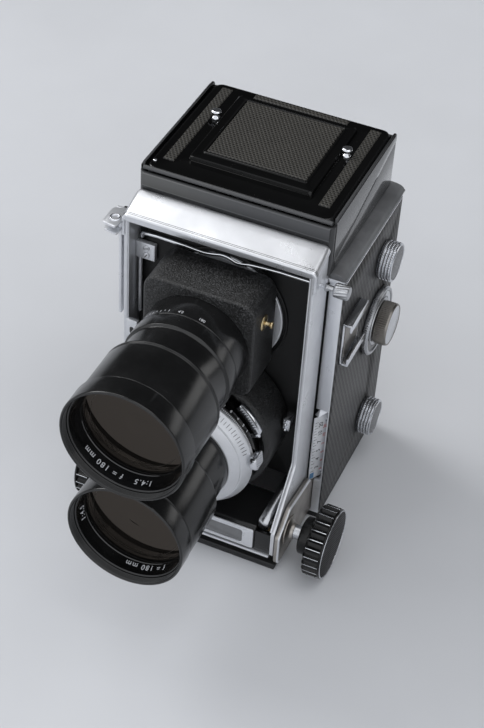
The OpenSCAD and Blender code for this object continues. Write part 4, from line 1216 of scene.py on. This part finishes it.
def spool_knobs():
    for node, body in (("upper_spool_knob", "upper_knob"), ("lower_spool_knob", "lower_knob")):
        low, high = span(node)
        radius = (high.z - low.z) / 2
        place = facing((0, (low.y + high.y) / 2, (low.z + high.z) / 2), (1, 0, 0))
        top, teeth = high.x, 52
        knurl = ripple(teeth, 0.22, lambda r, h: r >= radius - 0.25 and h <= top - 0.5, power=2)
        base = top - 6.1
        profile = [(2.55, base), (radius - 0.2, base), (radius - 0.1, base + 0.3)]
        for k in range(4):
            h = base + 0.5 + 1.32 * k
            profile += [(radius, h), (radius, h + 0.8), (radius - 0.55, h + 0.95), (radius - 0.55, h + 1.17)]
        profile += [(radius - 0.05, top - 0.3), (radius - 0.45, top), (radius - 0.9, top),
                    (radius - 1.0, top - 0.25), (2.55, top - 0.3)]
        drum = turned(profile, place, teeth * 6, softness=0.08, wave=knurl)
        shaft = turned([(0, low.x), (2.45, low.x), (2.45, base + 1), (0, base + 1)], place, 40, ring=False)
        piece(f"{node}_drum", merged(drum, shaft), "chrome", body, sharp=30, stands_for=[node])
        face = turned([(0, top - 0.8), (radius - 1.05, top - 0.8), (radius - 1.05, top - 0.25), (0, top - 0.22)],
                      place, 64, ring=False, softness=0.05)
        lines = hatching(spun(place, 50), radius - 1.3, 6, 1.1, top - 0.4, top - 0.08, 0.1)
        piece(f"{node}_face", merged(face, *lines), "dark_satin", body)


def dial():
    low, high = span("lock_dial")
    radius = (high.z - low.z) / 2
    y, z = (low.y + high.y) / 2, (low.z + high.z) / 2
    place = facing((0, y, z), (1, 0, 0))
    top, teeth, flutes = high.x, 96, 60
    milled = ripple(teeth, 0.3, lambda r, h: r > radius - 0.3 and h < top - 0.7)
    profile = [(2.1, top - 2.4), (radius - 0.3, top - 2.4), (radius, top - 2.1), (radius, top - 0.75),
               (radius - 0.25, top - 0.5), (radius - 0.6, top), (radius - 1.7, top), (radius - 1.9, top - 0.55),
               (10.6, top - 0.55), (10.4, top - 0.1), (2.1, top - 0.05)]
    wheel = turned(profile, place, teeth * 5, softness=0.1, wave=milled)
    shaft = turned([(2.1, low.x), (3.95, low.x), (3.95, top - 1), (2.1, top - 1)], place, 48)
    piece("lock_dial_wheel", merged(wheel, shaft), "steel", "lock_dial", sharp=30, stands_for=["lock_dial"])
    band = turned([(10.7, top - 0.6), (radius - 2.0, top - 0.6), (radius - 2.0, top - 0.4), (10.7, top - 0.4)],
                  place, 96, softness=0.05)
    piece("lock_dial_band", band, "black_lacquer", "lock_dial")
    plate_points = arc((0, 0), radius - 2.1, -10, 62, 20) + arc((0, 0), 10.8, 62, -10, 20)
    plate = prism(plate_points, place, top - 0.42, top - 0.3, 0.03, 1)
    piece("lock_dial_window", plate, "satin_silver", "lock_dial")

    knob_low, knob_high = span("lock_knob")
    r = (knob_high.z - knob_low.z) / 2
    base, crown = top + 0.1, knob_high.x
    fluted = ripple(flutes, 0.35, lambda out, h: out > r - 0.35 and h < crown - 0.9, power=2)
    profile = [(0, base), (r - 0.4, base), (r, base + 0.4), (r, crown - 0.9), (r - 0.1, crown - 0.7),
               (r - 0.3, crown - 0.15), (r - 0.6, crown), (r - 0.9, crown - 0.25), (0, crown - 0.3)]
    grip = turned(profile, place, flutes * 6, ring=False, softness=0.1, wave=fluted)
    stem = turned([(0, knob_low.x), (1.95, knob_low.x), (1.95, base + 1), (0, base + 1)], place, 32, ring=False)
    piece("lock_knob_grip", merged(grip, stem), "gunmetal", "lock_knob", sharp=30, stands_for=["lock_knob"])
    cap = turned([(0, crown - 0.5), (r - 0.95, crown - 0.5), (r - 0.95, crown - 0.2), (0, crown - 0.16)], place, 64,
                 ring=False, softness=0.05)
    piece("lock_knob_cap", cap, "satin_silver", "lock_knob")


def shoe():
    low, high = span("accessory_shoe")
    x0 = low.x + 0.5
    y0, y1 = low.y, high.y
    parts = [block((x0, y0, low.z), (x0 + 0.9, y1, high.z), 0.2)]
    upright = Matrix(((1, 0, 0, 0), (0, 0, 1, 0), (0, 1, 0, 0), (0, 0, 0, 1)))
    section = [(0, 0), (3.9, 0), (3.9, 3.8), (3.1, 3.8), (3.0, 1.0), (0, 1.0)]
    for z_edge, inward in ((low.z, 1), (high.z, -1)):
        outline = soften([(x0 + x, z_edge + z * inward) for x, z in section], 0.5, closed=True)
        parts.append(prism(outline, upright, y0, y1, 0.3))
    piece("shoe_rails", merged(*parts), "chrome", "body", stands_for=["accessory_shoe"])
    leaf = [(y0 + 2, low.z + 2.2), (y1 - 2, low.z + 3.0), (y1 - 1, high.z - 3), (y0 + 1, high.z - 2.2)]
    leaf = soften(leaf, 1.0, closed=True)
    piece("shoe_spring", prism(leaf, SIDEWAYS, x0 + 0.92, x0 + 1.25, 0.1), "gunmetal", "body")
    head, cut = screw(facing((x0 + 1.25, (y0 + y1) / 2 + 5, (low.z + high.z) / 2), (1, 0, 0)), 1.2, 25)
    piece("shoe_screw", head, "steel", "body")
    piece("shoe_screw_slot", cut, "black_mark", "body")


def shoulder_trim():
    """Bright lower edge of the round shoulders, just over the coverings."""
    low, high = span("side_covering")
    lines = [tube([(x, y, high.z + 0.35) for y in (low.y, high.y)], 0.3, 10) for x in (high.x - 0.2, 0.2 - high.x)]
    piece("shoulder_trim", merged(*lines), "chrome", "body")


spool_knobs()
dial()
shoe()
shoulder_trim()


# ---------- waist level finder ----------

base_low, base_high = span("finder_base")


def finder_base():
    """Tray with thin round-cornered walls that the lid closes."""
    sheet, z0 = 1.2, base_low.z
    outer = round_rect(base_low.x, base_high.x, base_low.y, base_high.y, 2.2, 6)
    inner = round_rect(base_low.x + sheet, base_high.x - sheet, base_low.y + sheet, base_high.y - sheet, 1.2, 6)
    plate = round_rect(-39.2, 39.2, base_low.y + 0.6, base_high.y - 0.6, 1.5, 6)
    parts = [window(outer, inner, PLAN, z0, 154.9, 0.25),
             window(plate, round_rect(-27, 27, -30, 20, 1, 6), PLAN, z0, z0 + 1.0, 0.1)]
    # the two higher side walls, rounded at their rear ends
    y0, y1, top = base_low.y + 3.2, base_high.y - 0.4, base_high.z
    flank = [(y0, 153.6), (y1, 153.6), (y1, top - 2.2)] + arc((y1 - 2.2, top - 2.2), 2.2, 15, 90, 6) + [(y0, top)]
    for x0, x1 in ((base_high.x - 1.1, base_high.x), (base_low.x, base_low.x + 1.1)):
        parts.append(prism(flank, SIDEWAYS, x0, x1, 0.4, 3))
    piece("finder_tray", merged(*parts), "black_lacquer", "body", stands_for=["finder_base"])
    section = [(-0.12, 148.6), (-0.3, 149.4), (-0.35, 154.2), (0.2, 154.8), (0.6, 148.6)]
    # the front wall, whose colour carries a painted reflection of the floor
    apron = prism([(base_low.y + y, z) for y, z in section], SIDEWAYS, -38.4, 38.4, 0.15)
    piece("finder_apron", apron, "apron_painted_reflection", "body")
    # outer skins of the sides, split by the slanting seam of the folding hood
    for side, label in ((1, "left"), (-1, "right")):
        x0, x1 = (base_high.x - 0.05, base_high.x + 0.3) if side > 0 else (base_low.x - 0.3, base_low.x + 0.05)
        y_a, y_b = base_low.y + 2.6, base_high.y - 1.6
        upper = [(y_a + 1.4, 137.5), (y_b, 153.6), (y_b, 155.6), (y_b - 1.2, 156.8), (y_a, 156.2), (y_a, 138.2)]
        lower = [(y_a + 3.2, base_low.z + 0.6), (y_b, base_low.z + 0.6), (y_b, 153.2), (y_a + 1.8, 137.1)]
        skin = [prism(soften(upper, 0.5, closed=True), SIDEWAYS, x0, x1, 0.12),
                prism(soften(lower, 0.4, closed=True), SIDEWAYS, x0, x1 - 0.12 if side > 0 else x1, 0.1)]
        piece(f"finder_skin_{label}", merged(*skin), "finder_skin", "body")


def lid():
    low, high = span("finder_lid")
    z_top = 156.6
    x1, y0, y1 = 37.6, low.y + 0.9, 31.1
    mid_x, p_y0, p_y1 = 25.6, -23.0, 25.8
    # half width, front, back, corner radius and height of each level, from the skirt to the top panel's seat
    levels = [
        (x1, y0, y1, 3.4, 155.05), (x1, y0, y1, 3.4, 156.0), (x1 - 0.25, y0 + 0.25, y1 - 0.3, 3.3, 156.5),
        (x1 - 0.7, y0 + 0.8, y1 - 0.9, 3.0, 156.75), (x1 - 1.2, y0 + 1.4, y1 - 1.5, 2.8, 156.65),
        (x1 - 1.8, y0 + 2.4, y1 - 1.9, 2.4, z_top - 0.05), (mid_x + 1.2, p_y0 - 1.2, p_y1 + 1.2, 2.0, z_top - 0.05),
        (mid_x + 0.5, p_y0 - 0.5, p_y1 + 0.5, 1.8, z_top - 0.35), (mid_x, p_y0, p_y1, 1.6, z_top - 0.2),
        (mid_x - 0.35, p_y0 + 0.35, p_y1 - 0.35, 1.5, z_top + 1.0),
        (mid_x - 0.8, p_y0 + 0.8, p_y1 - 0.8, 1.4, z_top + 1.3),
        (mid_x - 1.4, p_y0 + 1.4, p_y1 - 1.2, 1.3, z_top + 1.2), (22.0, -18.2, 23.4, 1.3, z_top + 1.15),
        (21.6, -17.8, 23.0, 1.2, z_top + 1.5), (21.2, -17.4, 22.6, 1.1, z_top + 1.6),
        (20.9, -17.1, 22.4, 1.0, z_top + 1.45), (20.7, -16.9, 22.2, 0.8, z_top + 1.1),
    ]
    shell = loft([[Vector((*p, z)) for p in round_rect(-x, x, front, back, r, 6)]
                  for x, front, back, r, z in levels])
    hinge = tube([(-38.5, low.y + 0.9, 156.1), (38.5, low.y + 0.9, 156.1)], 0.85, 16)
    ears = [block((x, 3.8, 153.1), (x + 1.4, 7.0, 155.5), 0.3) for x in (-15, 13.6)]
    piece("lid_shell", merged(shell, hinge, *ears), "black_lacquer", "lid", stands_for=["finder_lid"])
    # a rivet at its front corner
    rivet = turned([(0, 0), (0.9, 0), (0.8, 0.4), (0, 0.6)], Matrix.Translation((-36.2, -29.5, z_top)), 24,
                   ring=False)
    piece("lid_rivet", rivet, "chrome", "lid")


def woven(x0, x1, y0, y1, base, rise):
    """A panel of woven leatherette as a fine relief, rounded down at its edges."""
    step = 0.24
    nx, ny = int((x1 - x0) / step), int((y1 - y0) / step)
    verts, faces = [], []
    for j in range(ny + 1):
        for i in range(nx + 1):
            x, y = x0 + (x1 - x0) * i / nx, y0 + (y1 - y0) * j / ny
            shift = 0.5 * (math.floor(y / WEAVE[1]) % 2)
            du = (x / WEAVE[0] + shift) % 1.0 - 0.5
            dv = (y / WEAVE[1]) % 1.0 - 0.5
            far = math.sqrt((du * 2.6) ** 2 + (dv * 1.9) ** 2)
            pit = 1 - min(max((far - 0.35) / 0.6, 0), 1)
            edge = min(min(x - x0, x1 - x, y - y0, y1 - y) / 0.5, 1)
            z = base + rise * math.sqrt(max(1 - (1 - edge) ** 2, 0)) - 0.12 * pit * edge
            verts.append(Vector((x, y, z)))
    for j in range(ny):
        for i in range(nx):
            a = j * (nx + 1) + i
            faces.append((a, a + 1, a + nx + 2, a + nx + 1))
    # a closed underside
    rim = ([i for i in range(nx + 1)] + [j * (nx + 1) + nx for j in range(1, ny + 1)]
           + [ny * (nx + 1) + i for i in range(nx - 1, -1, -1)] + [j * (nx + 1) for j in range(ny - 1, 0, -1)])
    start = len(verts)
    verts += [Vector((verts[k].x, verts[k].y, base - 0.3)) for k in rim]
    count = len(rim)
    for k in range(count):
        m = (k + 1) % count
        faces.append((rim[m], rim[k], start + k, start + m))
    faces.append(tuple(start + k for k in range(count)))
    return verts, faces


def lid_coverings():
    parts = [woven(-20.65, 20.65, -16.85, 22.15, 157.72, 0.62)]
    for x0 in (-34.2, 29.6):
        parts.append(woven(x0, x0 + 4.6, -27, 28.5, 156.5, 0.55))
    parts.append(woven(-20.2, 20.2, 26.6, 30.0, 156.5, 0.62))
    piece("lid_panels", merged(*parts), "woven_leather", "lid", sharp=180, stands_for=["lid_covering"])


def studs():
    foot = span("lid_studs")[0].z
    profile = [(0, -0.2), (1.75, -0.2), (1.75, 0.3), (1.3, 0.7), (0.75, 1.2), (0.75, 2.2), (1.3, 2.6), (2.05, 2.8),
               (2.1, 3.2), (1.5, 3.65), (0, 3.8)]
    parts = [turned(profile, Matrix.Translation((x, 7.5, foot)), 48, ring=False, softness=0.25)
             for x in (-27.6, 27.6)]
    piece("lid_stud_pair", merged(*parts), "chrome", "lid", stands_for=["lid_studs"])


def magnifier():
    low, high = span("magnifier_lens")
    fore = [(k / 8, 0.35 + 0.45 * (1 - (k / 8) ** 2)) for k in range(8, -1, -1)]
    radius = (high.x - low.x) / 2
    profile = [(radius * k, -z) for k, z in reversed(fore)] + [(radius * k, z) for k, z in fore]
    piece("magnifier_element", turned(profile, Matrix.Translation((low + high) / 2), 72, ring=False, softness=0),
          "clear_glass", "magnifier", stands_for=["magnifier_lens"])


finder_base()
lid()
lid_coverings()
studs()
magnifier()


# ---------- right side and back ----------

def crank():
    low, high = span("wind_crank")
    y, z = high.y - 9, (low.z + high.z) / 2
    reach = 22
    place = facing((0, y, z), (-1, 0, 0))
    outer = -low.x
    hub = turned([(0, -high.x), (2.45, -high.x), (2.45, 45.9), (8.6, 45.9), (9, 46.4), (9, 48.4), (8.4, 49.3),
                  (5.4, 49.6), (5.0, outer - 0.4), (4.2, outer), (0, outer)], place, 72, ring=False, softness=0.3)
    arm = arc((0, 0), 6, -90, 90, 12) + arc((-reach, 0), 4, 90, 270, 10)
    turn = Matrix(((0, 0, -1, 0), (1, 0, 0, y), (0, 1, 0, z), (0, 0, 0, 1)))
    bar = prism(arm, turn, 49.1, outer - 0.1, 0.45, 3)
    piece("crank_arm", merged(hub, bar), "chrome", "crank", stands_for=["wind_crank"])
    grip_low, grip_high = span("crank_handle")
    at = facing((0, (grip_low.y + grip_high.y) / 2, (grip_low.z + grip_high.z) / 2), (-1, 0, 0))
    end = -grip_low.x
    lines = ripple(22, 0.18, lambda r, h: r > 2.6 and h < end - 1.5)
    profile = [(0, -grip_high.x), (2.3, -grip_high.x), (2.3, 48.9), (1.45, 49.0), (1.45, outer + 0.1),
               (3.3, outer + 0.15)]
    profile += [(3.55 - 0.35 * math.sin(math.pi * k / 8), outer + 0.6 + (end - outer - 2.4) * k / 8)
                for k in range(9)]
    profile += [(3.5, end - 1.2), (2.6, end - 0.2), (0, end)]
    piece("crank_grip", turned(profile, at, 132, ring=False, softness=0.2, wave=lines), "black_knob", "handle",
          stands_for=["crank_handle"])


def latch():
    low, high = span("door_latch")
    profile = [(low.y + 0.9, low.z + 0.2), (high.y - 0.1, low.z + 1.2), (high.y, low.z + 3), (high.y, high.z - 0.8),
               (high.y - 0.8, high.z), (low.y + 0.1, high.z), (low.y + 0.1, high.z - 1.75),
               (low.y + 1.1, high.z - 1.75)]
    body = prism(soften(profile, 0.4, closed=True, steps=3), SIDEWAYS, low.x, high.x, 0.5, 3)
    ribs = [block((low.x + 2.5, high.y - 0.1, z), (high.x - 2.5, high.y + 0.25, z + 0.6), 0.15)
            for z in [low.z + 5 + 1.3 * k for k in range(7)]]
    piece("latch_slide", merged(body, *ribs), "chrome", "latch", stands_for=["door_latch"])


crank()
latch()


# ---------- floor, light and camera ----------

WORLD_FRONT, WORLD_BACK = 1.25, 0.06


def floor_material():
    s = Shader("floor")
    cloud = s.noise(260.0, 4.0, 0.6)
    base = s.mix(s.step(cloud, 0.25, 0.8), grey(0.63, COOL), grey(0.70, COOL))
    return s.set(Base_Color=base, Roughness=0.5)


def stage():
    mesh = bpy.data.meshes.new("floor")
    reach = 4.0
    corners = [(-reach, -reach, 0), (reach, -reach, 0), (reach, reach, 0), (-reach, reach, 0)]
    mesh.from_pydata(corners, [], [(0, 1, 2, 3)])
    mesh.materials.append(floor_material())
    ground = bpy.data.objects.new("floor", mesh)
    bpy.context.scene.collection.objects.link(ground)


def lamp(name, spot, target, size, power):
    data = bpy.data.lights.new(name, "AREA")
    data.shape = "RECTANGLE"
    data.size, data.size_y = size
    data.energy = power
    made = bpy.data.objects.new(name, data)
    made.location = spot
    made.rotation_euler = (Vector(target) - Vector(spot)).to_track_quat("-Z", "Y").to_euler()
    made.visible_camera = False
    bpy.context.scene.collection.objects.link(made)


def world():
    """A room that is light in front of the camera and above, and dark behind it."""
    made = bpy.data.worlds.new("studio")
    made.use_nodes = True
    tree = made.node_tree
    back = tree.nodes["Background"]
    way = tree.nodes.new("ShaderNodeTexCoord").outputs["Generated"]
    split = tree.nodes.new("ShaderNodeSeparateXYZ")
    tree.links.new(way, split.inputs[0])
    fade = tree.nodes.new("ShaderNodeMapRange")
    fade.interpolation_type = "SMOOTHSTEP"
    tree.links.new(split.outputs["Y"], fade.inputs["Value"])
    for label, value in (("From Min", 0.35), ("From Max", -0.7), ("To Min", WORLD_BACK), ("To Max", WORLD_FRONT)):
        fade.inputs[label].default_value = value
    tree.links.new(fade.outputs["Result"], back.inputs["Strength"])
    back.inputs["Color"].default_value = (0.95, 0.97, 1.0, 1)
    bpy.context.scene.world = made


def camera():
    """Eye 42 degrees above the floor, 21 degrees round to the user's left, slightly rolled."""
    azimuth, elevation, roll = math.radians(21.27), math.radians(41.92), math.radians(3.87)
    target, distance = Vector((10.23, -43.75, 82.8)) * MM, 672.71 * MM
    back = Vector((math.sin(azimuth) * math.cos(elevation), -math.cos(azimuth) * math.cos(elevation),
                   math.sin(elevation)))
    right = Vector((math.cos(azimuth), math.sin(azimuth), 0))
    up = back.cross(right)
    right, up = (right * math.cos(roll) + up * math.sin(roll), up * math.cos(roll) - right * math.sin(roll))
    data = bpy.data.cameras.new("camera")
    data.sensor_fit = "AUTO"
    data.sensor_width = 36
    data.lens = 84.14
    data.clip_start, data.clip_end = 0.01, 20
    made = bpy.data.objects.new("camera", data)
    turn = Matrix((right, up, back)).transposed().to_4x4()
    made.matrix_world = Matrix.Translation(target + back * distance) @ turn
    bpy.context.scene.collection.objects.link(made)
    bpy.context.scene.camera = made


stage()
world()
lamp("left_window", (-2.55, 0.42, 1.85), (0, -0.03, 0.08), (1.45, 1.45), 37.0)
lamp("overhead", (-0.56, 0.17, 1.24), (0, -0.03, 0.12), (0.50, 0.62), 2.7)
lamp("skylight", (0.42, 0.02, 1.35), (0, -0.05, 0.08), (0.75, 0.9), 3.4)
lamp("far_window", (0.80, 0.70, 0.30), (0, -0.05, 0.10), (0.45, 0.30), 0.6)
camera()
bpy.context.scene.view_settings.view_transform = "Standard"
